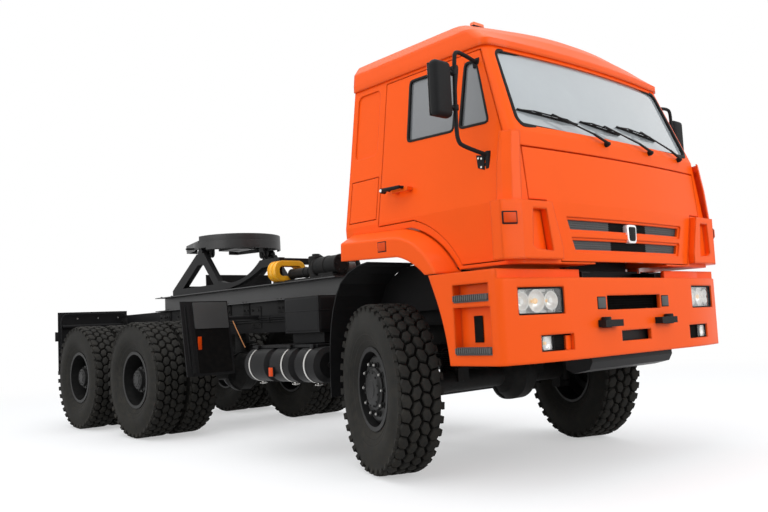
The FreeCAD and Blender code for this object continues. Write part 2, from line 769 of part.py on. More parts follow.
def cab_lug(side):
    """Gooseneck arm from the cab's floor to its tilt pin."""
    pivot_y, pivot_z = float(pivot_ahead), float(dim.cab_pivot_height)
    left = side * (float(rail_outside) + 32.5) - 16
    arm = prism_across((
        (pivot_y, pivot_z - 34), (pivot_y + 190, pivot_z - 34), (pivot_y + 190, 1305),
        (pivot_y + 115, 1305), (pivot_y + 115, pivot_z + 34), (pivot_y, pivot_z + 34)),
        left, 32)
    eye = Part.makeCylinder(34, 32, Vector(left, pivot_y, pivot_z), Vector(1, 0, 0))
    hole = Part.makeCylinder(float(dim.pivot_pin + dim.running_gap), 40,
                             Vector(left - 4, pivot_y, pivot_z), Vector(1, 0, 0))
    return arm.fuse(eye).cut(hole)


def cab_fenders():
    """Wheel arch flares fixed to the cab's sides."""
    seam = 1280
    half = float(dim.fender_width) / 2
    outer_top = ((aft(213), 1640), (aft(-269), 1620), (aft(-600), 1478, True),
                 (aft(-742), 1300), (aft(-748), seam))
    outer_crease = ((aft(213), 1553), (aft(-242), 1538), (aft(-530), 1450, True),
                    (aft(-668), 1290), (aft(-672), seam))
    lower = ((aft(-583), seam), (aft(-490), 1352, True), (aft(-335), 1412), (aft(217), 1434))
    inner_top = ((aft(188), 1612), (aft(-262), 1592), (aft(-575), 1455, True),
                 (aft(-715), 1290), (aft(-720), seam))
    inner_crease = ((aft(188), 1528), (aft(-236), 1512), (aft(-505), 1428, True),
                    (aft(-643), 1290), (aft(-646), seam))

    def section(x, edge):
        points = [Vector(x, float(y), z) for y, z, *_ in edge + lower]
        return wire_from(points, [bool(p[2:]) for p in edge + lower])

    fender = Part.makeLoft([section(1098, outer_top), section(half, outer_crease)], True, True)
    crease = [edge for edge in fender.Edges
              if edge.BoundBox.XMin > half - 1 and edge.BoundBox.ZMin > seam - 1
              and edge.CenterOfMass.z > 1360 and edge.CenterOfMass.y < float(aft(200))
              and edge.CenterOfMass.distanceToPoint(Vector(half, float(aft(-240)), 1400)) > 60
              and edge_on(edge, outer_crease, half)]
    fender = fender.makeFillet(18, crease)
    hollow = Part.makeLoft([section(1097, inner_top), section(half - 26, inner_crease)],
                           True, True)
    fender = fender.cut(hollow).cut(cab_mass(CAB_LEVELS))
    solids = [fender, fender.mirror(Vector(), Vector(1, 0, 0))]
    node("cab_fenders", feature("arch_flares", Part.makeCompound(solids)))


def edge_on(edge, outline, x):
    """Whether both ends of an edge are corners of an outline at that X."""
    corners = [Vector(x, float(y), z) for y, z, *_ in outline]
    return all(any(vertex.Point.distanceToPoint(corner) < 1 for corner in corners)
               for vertex in edge.Vertexes)


def corner_deflectors():
    """Air deflectors round the cab's lower front corners, each with a recess in its face."""
    y = lambda distance: float(aft(distance))
    plan = ((770, y(-1258)), (1110, y(-1240)), (1225, y(-1180)), (1225, y(-1108)),
            (1080, y(-1108)), (1080, y(-1150)), (770, y(-1190)))
    block = prism_up(plan, 1322, 333).cut(cab_mass(CAB_LEVELS, -0.3, -0.3))
    slope = prism_along(((846, 1660), (750, 1320), (700, 1320), (700, 1660)), y(-1400), 400)
    recess = prism_along(((900, 1610), (1015, 1610), (1030, 1400), (1000, 1380), (860, 1370)),
                         y(-1400), 400)
    recess = recess.cut(cab_mass(CAB_LEVELS, 0, 2))
    shallow = Part.makeBox(500, 200, 400, Vector(700, y(-1208), 1300))
    block = block.cut([slope, recess.cut(shallow)])
    rings = []
    for height, side, shoulder in ((1650, 1132, 1190), (1870, 1110, 1178), (2068, 1074, 1162)):
        plan = ((side + 38, -1108), (side + 38, -shoulder + 36), (side + 12, -shoulder - 16),
                (side - 46, -shoulder - 37), (side - 48, -shoulder - 28),
                (side + 5, -shoulder - 9), (side + 29, -shoulder + 38), (side + 29, -1108))
        rings.append(Part.makePolygon([Vector(x, y(along), height)
                                       for x, along in plan + plan[:1]]))
    vane = Part.makeLoft(rings, True, True)
    stays = [Part.makeBox(34, 8, 30, Vector(side, y(-1140), height)) for side, height in
             ((1118, 1750), (1082, 1990))]
    block = block.fuse([vane] + stays).cut(cab_mass(CAB_LEVELS, -0.3, -0.3))
    solids = [block, block.mirror(Vector(), Vector(1, 0, 0))]
    node("corner_deflectors", feature("deflectors", Part.makeCompound(solids)))


def cab_inside():
    """Dashboard, seats and the steering wheel."""
    dash_profile = (
        (aft(-1150), Size.of(1710)), (aft(-1150), Size.of(2100)), (aft(-900), Size.of(2120)),
        (aft(-760), Size.of(2040)), (aft(-740), Size.of(1900)), (aft(-820), Size.of(1710)),
    )
    profile = plate("dash_profile", "YZ", dash_profile, Size.of(-930), Size.of(1860))
    room = feature("cab_room", cab_mass(CAB_LEVELS, float(dim.cab_wall) + 0.3,
                                        float(dim.cab_front_wall) + 0.3))
    dash = doc.addObject("Part::Common", "dash")
    dash.Base, dash.Tool = profile, room
    node("dashboard", dash)
    seats = []
    for number, middle in enumerate((-620, 0, 600)):
        cushion = box(f"cushion_{number}", (Size.of(middle - 230), aft(-420), Size.of(1900)),
                      (Size.of(middle + 230), aft(60), Size.of(2030)))
        back = box(f"backrest_{number}", (Size.of(middle - 230), aft(60), Size.of(1940)),
                   (Size.of(middle + 230), aft(180), Size.of(2520)))
        floor = dim.cab_arch + dim.cab_wall if middle else dim.tunnel_top + dim.cab_floor
        base = box(f"seat_base_{number}", (Size.of(middle - 150), aft(-300), floor),
                   (Size.of(middle + 150), aft(40), Size.of(1905)))
        seats.append(fuse(f"seat_{number}", [cushion, back, base]))
    node("seats", group("seat_row", [seats[0], seats[1], seats[2]]))
    grip = [Vector(215 + 15 * math.cos(turn), 0, 15 * math.sin(turn))
            for turn in (math.radians(60 * step) for step in range(7))]
    wheel = Part.Face(Part.makePolygon(grip)).revolve(Vector(), Vector(0, 0, 1), 360)
    hub = Part.makeCylinder(45, 40, Vector(0, 0, -30))
    shaft = Part.makeCylinder(20, 188.3, Vector(0, 0, -208.3))
    spokes = [Part.makeCylinder(10, 205, Vector(), Vector(math.cos(a), math.sin(a), 0))
              for a in (math.radians(0), math.radians(180), math.radians(270))]
    wheel = wheel.fuse([hub, shaft] + spokes)
    wheel.Placement = steering_column()
    node("steering_wheel", feature("steering_wheel_shape", wheel))


def steering_column():
    """Place and slope of the steering column's axis."""
    return Placement(Vector(600, float(aft(-640)), 2185), Rotation(Vector(1, 0, 0), -28))


def wheel_parts():
    """Tyres and rims of the six wheel ends."""
    outer, half = wheel_height, dim.tyre_width / 2
    flange = dim.rim_diameter / 2
    bead = dim.rim_width / 2

    def tyre(name, centre):
        tread = half * 0.86
        section = (
            (0.3 - bead, flange - 11.7),
            (0.3 - bead, flange + 3),
            (-half, flange + 120),
            (-tread, outer - 24),
            (-tread + 24, outer),
            (tread - 24, outer),
            (tread, outer - 24),
            (half, flange + 120),
            (bead - 0.3, flange + 3),
            (bead - 0.3, flange - 11.7),
        )
        return turned(name, "X", section, centre)

    def rim(name, centre, face):
        """Rim with its disc set at a distance from its middle, towards +X."""
        section = (
            (-bead, flange), (-bead - 8, flange), (-bead - 8, flange - 30),
            (face - 8, flange - 44), (face - 8, Size.of(70)), (face + 10, Size.of(70)),
            (face + 10, flange - 44), (bead + 8, flange - 30), (bead + 8, flange),
            (bead, flange), (bead, flange - 12), (-bead, flange - 12),
        )
        return turned(name, "X", section, centre)

    for side, word in ((-1, "right"), (1, "left")):
        centre = (dim.front_track / 2 * side, front_axle, wheel_height)
        local = (ground, ground, ground)
        face = dim.tyre_width / 2 * side * 0.35
        tread = tyre(f"front_tread_{word}", local)
        disc = rim(f"front_disc_{word}", local, face)
        hub = rod(f"front_hub_{word}", (ground, ground, ground), "X", Size.of(118), Size.of(105))
        hub_cap = rod(f"front_cap_{word}", (ground, ground, ground), "X", Size.of(128),
                      Size.of(60))
        hub_set = fuse(f"front_hub_set_{word}", [hub, hub_cap])
        if side < 0:
            hub_set = other_side(hub_set)
        turn = steered(word, side)
        node(f"front_tyre_{word}", moved(f"front_tyre_placed_{word}", tread, turn, centre))
        rim_set = fuse(f"front_rim_set_{word}", [disc, hub_set])
        node(f"front_rim_{word}", moved(f"front_rim_placed_{word}", rim_set, turn, centre))
    for axle, place_y in (("mid", mid_axle), ("rear", rear_axle)):
        for side, word in ((-1, "right"), (1, "left")):
            outer_x = twin_outer_track / 2 * side
            inner_x = dim.twin_inner_track / 2 * side
            outer_tyre = tyre(f"{axle}_outer_tread_{word}", (outer_x, place_y, wheel_height))
            inner_tyre = tyre(f"{axle}_inner_tread_{word}", (inner_x, place_y, wheel_height))
            node(f"{axle}_tyres_{word}", group(f"{axle}_twin_{word}", [outer_tyre, inner_tyre]))
            outer_rim = rim(f"{axle}_outer_rim_{word}", (outer_x, place_y, wheel_height),
                            Size.of(-95 * side))
            inner_rim = rim(f"{axle}_inner_rim_{word}", (inner_x, place_y, wheel_height),
                            Size.of(95 * side))
            span = (twin_outer_track - dim.twin_inner_track) / 2
            drum = rod(f"{axle}_hub_{word}", (dim.twin_inner_track / 2 + 50.3, place_y,
                       wheel_height), "X", span - 10, Size.of(150))
            nose = rod(f"{axle}_nose_{word}", (dim.twin_inner_track / 2 + 60, place_y,
                       wheel_height), "X", span - 60 + 100, Size.of(82))
            hub_set = fuse(f"{axle}_hub_set_{word}", [drum, nose])
            if side < 0:
                hub_set = other_side(hub_set)
            node(f"{axle}_rims_{word}", fuse(f"{axle}_rim_set_{word}",
                 [outer_rim, inner_rim, hub_set]))


def steered(word, side):
    """Turns a front wheel's pieces about its kingpin by the rest angle."""
    pin = Vector(side * float(dim.kingpin_track) / 2, float(front_axle), 0)
    return pin, -float(dim.steer_rest)


def moved(name, item, turn, offset):
    """A copy of an object's shape, set at an offset and turned about a vertical pin."""
    doc.recompute()
    pin, angle = turn
    shape = item.Shape.copy()
    shape.translate(Vector(*(float(value) for value in offset)))
    shape.rotate(pin, Vector(0, 0, 1), angle)
    return feature(name, shape)


# ---------------------------------------------------------------- axles, steering and springs
def bowl_form(name, centre, radius):
    """The round middle of an axle, about X."""
    half = ((1.0, 0.35), (0.75, 0.7), (0.3, 1.0))
    section = [(Size.of(-radius), ground)]
    section += [(Size.of(-along * radius), Size.of(out * radius)) for along, out in half]
    section += [(Size.of(along * radius), Size.of(out * radius)) for along, out in half[::-1]]
    section.append((Size.of(radius), ground))
    return turned(name, "X", tuple(section), centre)


def axle_housings():
    """Three driven axles with their differentials."""
    pin_x = dim.kingpin_track / 2
    tube = rod("front_tube", (-pin_x + 95, front_axle, wheel_height), "X", pin_x * 2 - 190,
               dim.axle_radius)
    bowl = bowl_form("front_bowl", (Size.of(210), front_axle, wheel_height), 185)
    nose = rod("front_pinion", (Size.of(210), front_axle, wheel_height + 40), "Y",
               Size.of(330), Size.of(85))
    pieces = [tube, bowl, nose]
    for side in (-1, 1):
        pin = pin_x * side
        inner, outer = (pin - 110, pin - 70) if side > 0 else (pin + 70, pin + 110)
        back = (inner, front_axle - 38, wheel_height - 142)
        pieces.append(box(f"yoke_back_{side + 1}", back,
                          (outer, front_axle + 38, wheel_height + 142)))
        for number, rise in enumerate((-142, 102)):
            level = wheel_height + rise
            pieces.append(rod(f"yoke_ear_{side + 1}_{number}", (pin, front_axle, level), "Z",
                              Size.of(40), Size.of(50)))
            arm = (inner, pin) if side > 0 else (pin, outer)
            pieces.append(box(f"yoke_arm_{side + 1}_{number}",
                              (arm[0], front_axle - 38, level),
                              (arm[1], front_axle + 38, level + 40)))
    for side in (-1, 1):
        seat = box(f"front_spring_seat_{side + 1}",
                   (dim.front_spring_track / 2 * side - 55, front_axle - 90, wheel_height),
                   (dim.front_spring_track / 2 * side + 55, front_axle + 90,
                    wheel_height + 100))
        pieces.append(seat)
    node("front_axle", fuse("front_housing", pieces))
    for name, place_y in (("mid", mid_axle), ("rear", rear_axle)):
        reach = dim.twin_inner_track / 2 + 50
        tube = rod(f"{name}_tube", (-reach, place_y, wheel_height), "X", reach * 2,
                   dim.axle_radius)
        bowl = bowl_form(f"{name}_bowl", (ground, place_y, wheel_height), 205)
        behind = dim.through_flange if name == "mid" else Size.of(-80)
        nose = rod(f"{name}_pinion", (ground, place_y - dim.pinion_flange,
                                      wheel_height + dim.pinion_rise), "Y",
                   dim.pinion_flange + behind, Size.of(80))
        pieces = [tube, bowl, nose]
        for side in (-1, 1):
            pieces.append(box(f"{name}_seat_{side + 1}",
                              (dim.rear_spring_track / 2 * side - 50, place_y - 80,
                               wheel_height),
                              (dim.rear_spring_track / 2 * side + 50, place_y + 80,
                               wheel_height + 95)))
        node(f"{name}_axle", fuse(f"{name}_housing", pieces))


def steering():
    """Two knuckles between their yokes, and the tie rod behind the axle."""
    rise, inset = float(dim.steer_arm_rise), float(dim.steer_arm_inset)
    height = float(wheel_height)
    eyes = []
    for side, word in ((-1, "right"), (1, "left")):
        pin_x = side * float(dim.kingpin_track) / 2
        pin_y = float(front_axle)
        body = Part.makeCylinder(52, 180, Vector(pin_x, pin_y, height - 90))
        post = Part.makeCylinder(float(dim.kingpin_radius), 203.4,
                                 Vector(pin_x, pin_y, height - 101.7))
        reach = float(dim.front_track - dim.kingpin_track) / 2 - float(dim.running_gap)
        spindle = Part.makeCylinder(48, reach, Vector(pin_x, pin_y, height),
                                    Vector(side, 0, 0))
        eye_at = Vector(pin_x - side * inset, pin_y + rise, height - 60)
        start = Vector(pin_x + side * 5, pin_y + 40, height - 60)
        arm_way = eye_at - start
        arm = Part.makeCylinder(19, arm_way.Length, start, arm_way)
        eye = Part.makeCylinder(30, 44, eye_at - Vector(0, 0, 22))
        shape = body.fuse([post, spindle, arm, eye])
        shape.rotate(Vector(pin_x, pin_y, 0), Vector(0, 0, 1), -float(dim.steer_rest))
        turned_eye = Rotation(Vector(0, 0, 1), -float(dim.steer_rest)).multVec(
            eye_at - Vector(pin_x, pin_y, 0)) + Vector(pin_x, pin_y, 0)
        eyes.append(turned_eye)
        node(f"knuckle_{word}", feature(f"knuckle_shape_{word}", shape))
    drop = Vector(0, 0, -47 - float(dim.running_gap))
    start, end = eyes[0] + drop, eyes[1] + drop
    bar = Part.makeCylinder(17, (end - start).Length, start, end - start)
    knobs = [Part.makeCylinder(26, 50, point - Vector(0, 0, 25)) for point in (start, end)]
    bar = bar.fuse(knobs)
    node("tie_rod", feature("tie_rod_shape", bar))


def leaf_springs():
    """Front springs under the rails and the bogie's springs on their trunnions."""
    width = float(dim.spring_width)
    items = []
    top = float(wheel_height) + 100
    y = lambda distance: float(aft(distance))
    front = prism_across(((y(-760), 900), (y(0), top, True), (y(760), 900), (y(760), 915),
                          (y(0), top + 95, True), (y(-760), 915)),
                         float(dim.front_spring_track) / 2 - width / 2, width)
    for setback in (-760, 760):
        hanger = Part.makeBox(width - 10, 60, 79.7, Vector(
            float(dim.front_spring_track) / 2 - width / 2 + 5, y(setback) - 30, 892))
        front = front.fuse(hanger)
    items.append(front)
    middle = float(mid_axle + dim.bogie_spread / 2)
    reach = float(dim.bogie_spread) / 2 + 60
    level = float(wheel_height) + 95.3
    inner = float(dim.rear_spring_track) / 2 - width / 2
    pack = prism_across(((middle - reach, level + 14), (middle - reach, level),
                         (middle, level + 60, True), (middle + reach, level),
                         (middle + reach, level + 14), (middle, level + 200, True)),
                        inner, width)
    hanger = Part.makeBox(60, 240, 350, Vector(float(rail_outside) + 0.3, middle - 120, 640))
    trunnion = Part.makeCylinder(60, 150, Vector(float(rail_outside) + 10, middle, 690),
                                 Vector(1, 0, 0))
    saddle = Part.makeBox(width, 200, 60, Vector(inner, middle - 100, level + 40))
    rear = pack.fuse([hanger, trunnion, saddle])
    items.append(rear)
    items += [item.mirror(Vector(), Vector(1, 0, 0)) for item in list(items)]
    node("leaf_springs", feature("springs", Part.makeCompound(items)))


# ---------------------------------------------------------------- power and fittings
def power_train():
    """Engine with gearbox, transfer case with shafts, and the radiator."""
    block = box("engine_block", (Size.of(-300), aft(-560), Size.of(830)),
                (Size.of(300), aft(420), Size.of(1520)))
    bell = box("gearbox_case", (Size.of(-210), aft(400), Size.of(820)),
               (Size.of(210), aft(1250), Size.of(1180)))
    feet = box("engine_feet", (-rail_outside + dim.rail_plate, aft(-160), Size.of(1000)),
               (rail_outside - dim.rail_plate, aft(-80), Size.of(1060)))
    node("engine", fuse("engine_shape", [block, bell, feet]))
    case = box("transfer_body", (Size.of(-230), aft(1640), Size.of(660)),
               (Size.of(260), aft(1980), Size.of(960)))
    hanger = box("transfer_hanger", (-rail_outside + dim.rail_plate, aft(1760),
                 rail_bottom + dim.rail_plate), (rail_outside - dim.rail_plate, aft(1840),
                 rail_bottom + 60))
    riser = box("transfer_riser", (Size.of(-180), aft(1760), Size.of(955)),
                (Size.of(180), aft(1840), rail_bottom + 60))
    short = rod("short_shaft", (ground, aft(1250), Size.of(900)), "Y", Size.of(410),
                Size.of(45))
    front = Part.makeCylinder(38, (Vector(210, float(aft(1650)), 720) - Vector(
        210, float(aft(335)), 610)).Length, Vector(210, float(aft(335)), 610),
        Vector(210, float(aft(1650)), 720) - Vector(210, float(aft(335)), 610))
    start = Vector(0, float(aft(1970)), 740)
    slope = Vector(0, float(mid_axle - dim.pinion_flange), float(
        wheel_height + dim.pinion_rise)) - start
    tail = Part.makeCylinder(45, slope.Length + 20, start, slope).common(Part.makeBox(
        200, slope.y + 30 - float(dim.running_gap), 400, Vector(-100, start.y - 30, 500)))
    link = rod("bogie_shaft", (ground, mid_axle + dim.through_flange + dim.running_gap,
                               wheel_height + dim.pinion_rise), "Y",
               dim.bogie_spread - dim.through_flange - dim.pinion_flange
               - dim.running_gap * 2, Size.of(40))
    shafts = [feature("front_shaft", front), feature("tail_shaft", tail), short]
    node("driveline", group("driveline_set", [
        fuse("transfer_set", [case, hanger, riser] + shafts), link]))
    reach = rail_outside - dim.rail_flange - dim.running_gap
    core = box("radiator_core", (-reach, aft(-960), Size.of(905)),
               (reach, aft(-860), Size.of(1560)))
    shroud = rod("radiator_shroud", (ground, aft(-865), Size.of(1240)), "Y", Size.of(120),
                 Size.of(290))
    node("radiator", fuse("radiator_set", [core, shroud]))


def tanks_and_boxes():
    """Air tanks and battery box on the right, fuel tank on the left."""
    drum_radius = Size.of(134)
    drums = []
    for number, (start, end) in enumerate(((760, 1060), (1085, 1400), (1425, 1765))):
        section = (
            (ground, ground), (ground, drum_radius - 40), (Size.of(26), drum_radius),
            (Size.of(end - start - 26), drum_radius), (Size.of(end - start),
            drum_radius - 40), (Size.of(end - start), ground))
        drums.append(turned(f"air_drum_{number}", "Y", section,
                            (Size.of(-966), aft(start), Size.of(715))))
    shelf = box("tank_shelf", (Size.of(-1000), aft(860), Size.of(849.3)),
                (-rail_outside - 0.3, aft(1760), Size.of(870)))
    arms = [box(f"tank_arm_{number}", (-rail_outside - 40, aft(start), Size.of(860)),
                (-rail_outside - 0.3, aft(start + 50), rail_bottom + 120))
            for number, start in enumerate((900, 1700))]
    node("air_tanks", group("air_tank_set", [fuse("tank_rack", [shelf] + arms)] + drums))
    battery = box("battery_case", (Size.of(-900), aft(960), Size.of(960)),
                  (Size.of(-560), aft(1420), Size.of(1245)))
    lower = box("battery_foot", (Size.of(-840), aft(980), Size.of(880)),
                (-rail_outside - 0.3, aft(1400), Size.of(965)))
    arm = box("battery_arm", (Size.of(-570), aft(1000), Size.of(1000)),
              (-rail_outside - 0.3, aft(1380), Size.of(1060)))
    node("battery_box", fuse("battery_set", [battery, lower, arm]))
    corner = 70
    inner, outer, low, high = 560, 1120, 560, 1130
    tank_profile = (
        (Size.of(inner + corner), Size.of(low)), (Size.of(outer - corner), Size.of(low),
        Size.of(corner)), (Size.of(outer), Size.of(low + corner)),
        (Size.of(outer), Size.of(high - corner), Size.of(corner)),
        (Size.of(outer - corner), Size.of(high)), (Size.of(inner + corner), Size.of(high),
        Size.of(corner)), (Size.of(inner), Size.of(high - corner)),
        (Size.of(inner), Size.of(low + corner), Size.of(corner)))
    tank = plate("fuel_drum", "XZ", tank_profile, aft(950), Size.of(1250))
    brackets = [box(f"fuel_bracket_{number}", (rail_outside + 0.3, aft(start), Size.of(700)),
                    (Size.of(inner + 4), aft(start + 60), rail_bottom + 150))
                for number, start in enumerate((1100, 1980))]
    node("fuel_tank", fuse("fuel_set", [tank] + brackets))


def winch():
    """Winch behind the cab: drum, motor, base and a curved yellow rope guard."""
    base_top = subframe_top
    base = box("winch_base", (Size.of(-500), aft(1270), base_top),
               (Size.of(200), aft(2120), base_top + 14))
    motor = rod("winch_motor", (Size.of(-420), aft(1250), base_top + 105), "Y", Size.of(330),
                Size.of(80))
    pump = rod("winch_pump", (Size.of(-420), aft(1610), base_top + 10), "Z", Size.of(185),
               Size.of(62))
    cap = rod("winch_cap", (Size.of(-420), aft(1600), base_top + 70), "Y", Size.of(385),
              Size.of(44))
    drum = rod("winch_drum", (Size.of(-260), aft(1800), base_top + 120), "X", Size.of(400),
               Size.of(85))
    cheeks = [rod(f"winch_cheek_{number}", (Size.of(start), aft(1800), base_top + 120), "X",
                  Size.of(14), Size.of(118)) for number, start in enumerate((-275, 130))]
    feet = [box(f"winch_foot_{number}", (Size.of(left), aft(front), base_top + 5),
                (Size.of(left + wide), aft(front + long), base_top + 100))
            for number, (left, wide, front, long) in enumerate(
                ((-470, 100, 1320, 200), (-275, 14, 1740, 120), (130, 14, 1740, 120)))]
    node("winch", fuse("winch_set", [base, motor, pump, cap, drum] + cheeks + feet))

    def hoop(inset):
        wide, high = 330 - 2 * inset, 176 - 2 * inset
        block = Part.makeBox(wide, 130, high, Vector(inset - 590, float(aft(1990)),
                                                     float(base_top) + 14.3 + inset))
        upright = [edge for edge in block.Edges if edge.BoundBox.YLength > 100]
        return block.makeFillet(80 - inset, upright)

    gate = Part.makeBox(300, 200, 200, Vector(-400, float(aft(1960)), float(base_top) - 110))
    node("winch_guard", feature("guard", hoop(0).cut([hoop(42), gate])))


def mudguards():
    """Black guards behind the front wheels, ahead of the middle and behind the rear ones."""
    y = lambda distance: float(aft(distance))
    items = []
    outer = ((720, 480), (720, 640), (716, 770), (704, 900), (684, 1015), (655, 1121),
             (613, 1222), (556, 1310), (460, 1382), (345, 1424), (240, 1438))
    inner = ((240, 1429), (343, 1415), (455, 1374), (549, 1304), (605, 1217), (646, 1118),
             (675, 1013), (695, 899), (707, 769), (711, 639), (711, 480))
    liner = prism_across([(y(along), height) for along, height in outer + inner], -1000, 470)
    stay = Part.makeBox(546 - float(rail_outside), 60, 40, Vector(-546, y(612), 1085))
    screen = prism_across([(y(along), height) for along, height in (
        (-240, 1080), (660, 1080), (650, 1119), (552, 1307), (344, 1419), (-240, 1419))],
        -546, 8)
    items.append(liner.fuse([stay, screen]))
    guard = prism_across(((y(2440), 616), (y(2452), 616), (y(2560), 1285), (y(2548), 1285)),
                         -1250, 480)
    rib = prism_across(((y(2425), 640), (y(2440), 640), (y(2545), 1260), (y(2530), 1260)),
                       -1200, 30)
    bar = Part.makeCylinder(22, 1250 - float(rail_outside) - 40,
                            Vector(-1210, y(2545), 1120), Vector(1, 0, 0))
    items.append(guard.fuse([rib, bar]))
    back = float(rear_axle + dim.rear_overhang) - 30
    tail = Part.makeBox(850, 8, 700, Vector(-1220, back, 620))
    strut = Part.makeCylinder(22, 1180 - float(rail_outside), Vector(
        -1180, back - 20, 1150), Vector(1, 0, 0))
    items.append(tail.fuse(strut))
    items += [item.mirror(Vector(), Vector(1, 0, 0)) for item in list(items)]
    node("mudguards", feature("guards", Part.makeCompound(items)))
    lamp = box("tail_lamp", (Size.of(1050), rear_axle + dim.rear_overhang - 22, Size.of(980)),
               (Size.of(1250), rear_axle + dim.rear_overhang, Size.of(1090)))
    node("tail_lamps", both_sides("tail_lamp_pair", [lamp]))


# ---------------------------------------------------------------- bumper and lamps
def bumper():
    """Hollow bumper that wraps round to the front wheels' arches, with steps in its sides."""
    half = float(dim.bumper_width) / 2
    face = float(dim.bumper_face)
    y = lambda distance: float(aft(distance))
    top, bottom, wall = float(dim.bumper_top), float(dim.bumper_bottom), float(dim.bumper_wall)

    def ring(height, inset, length):
        edge = half - inset
        points = [Vector(edge, y(-length), height), Vector(edge, y(-1105) + inset, height),
                  Vector(edge - 12, y(-1143) + inset, height),
                  Vector(edge - 50, y(-1165) + inset, height),
                  Vector(half - 270, y(-1205) + inset, height),
                  Vector(half - 550, y(-face) + inset, height)]
        middles = [False, False, True, False, True, False]
        points += [Vector(-p.x, p.y, p.z) for p in reversed(points)]
        middles += list(reversed(middles))
        return Part.Face(wire_from(points, middles))

    outer = ring(bottom, 0, 560).extrude(Vector(0, 0, top - bottom))
    raised = ring(top - 1, 0, 560).extrude(Vector(0, 0, 57)).cut(
        Part.makeBox(3000, 404, 100, Vector(-1500, y(-1540), top - 20)))
    lip = ring(top - 1, 62, 900).extrude(Vector(0, 0, 55)).cut(
        Part.makeBox(1000, 600, 200, Vector(-500, y(-1500), top - 20)))
    inner = ring(bottom - 5, wall, 500).extrude(Vector(0, 0, top - bottom - 12))
    upper = ring(top - 30, wall + 62, 500).extrude(Vector(0, 0, 200))
    shell = outer.fuse([raised, lip]).cut([inner, upper])
    arch = prism_across(((y(-606), 1290), (y(-672), 1123), (y(-735), 900, True),
                         (y(-763), 660), (y(-300), 660), (y(-300), 1290)), -1300, 2600)
    shell = shell.cut(arch)
    nose = y(-1400)
    openings = [
        (-313, 313, 1018, 1107), (-172, 172, 819, 885),
        (130 - half, 502 - half, 1008, 1165), (half - 502, half - 130, 1008, 1165),
        (284 - half, 570 - half, 796, 890), (half - 570, half - 284, 796, 890),
    ]
    for left, right, low, high in openings:
        shell = shell.cut(Part.makeBox(right - left, 300, high - low, Vector(left, nose + 100,
                                                                             low)))
    for side in (-1, 1):
        for low, high, front, rear in ((1096, 1200, -1078, -808), (795, 1068, -1085, -808)):
            tray = Part.makeBox(74, rear - front + 24, high - low + 24, Vector(
                side * (half - 38) - 37, y(front) - 12, low - 12))
            pocket = Part.makeBox(62, rear - front, high - low, Vector(
                side * (half - 30) - 31, y(front), low))
            shell = shell.fuse(tray).cut(pocket)
        shell = shell.cut(Part.makeBox(94, 200, 34, Vector(side * 375 - 47, y(-1300), 920)))
        shell = shell.fuse(Part.makeBox(60, 19 + 0.7, 90, Vector(side * (half - 550) - 30, y(-1200),
                                                               790)))
    shell = shell.common(Part.makeBox(2 * half, 2000, 1400, Vector(-half, y(-face) - 20, 0)))
    node("bumper", feature("bumper_shape", shell))


def bumper_fittings():
    """Step treads, lamps, tow hooks and the member below the bumper."""
    half = dim.bumper_width / 2
    treads = []
    for number, (low, front, rear) in enumerate(((1096.3, -1077, -809), (795.3, -1084, -809))):
        treads.append(box(f"step_tread_{number}", (half - 60, aft(front), Size.of(low)),
                          (half - 2, aft(rear), Size.of(low + 36))))
    node("step_treads", both_sides("step_tread_set", treads))
    head = box("headlight", (half - 501.7, aft(-1196), Size.of(1008.3)),
               (half - 130.3, aft(-1120), Size.of(1164.7)))
    fog = box("fog_light", (half - 408, aft(-1190), Size.of(796.3)),
              (half - 284.3, aft(-1120), Size.of(889.7)))
    node("front_lamps", both_sides("front_lamp_set", [head, fog]))
    shank = box("hook_shank", (Size.of(330), aft(-1226), Size.of(922)),
                (rail_outside - 12 - dim.running_gap, aft(-1100), Size.of(952)))
    nose = box("hook_nose", (Size.of(232), aft(-dim.front_overhang), Size.of(915)),
               (Size.of(424), aft(-1226), Size.of(957)))
    eye = rod("hook_eye", (Size.of(370), aft(-1248), Size.of(900)), "Z", Size.of(70),
              dim.tow_eye_radius)
    hook = cut("hook", fuse("hook_block", [shank, nose]), [eye])
    member_profile = (
        (aft(-1170), Size.of(660)), (aft(-1060), Size.of(635)), (aft(-1000), Size.of(660)),
        (aft(-1000), Size.of(769.7)), (aft(-1190), Size.of(769.7)), (aft(-1195), Size.of(705)))
    member = plate("under_member", "YZ", member_profile, Size.of(-470), Size.of(940))
    node("tow_hooks", both_sides("hook_pair", [hook]))
    node("under_member", member)


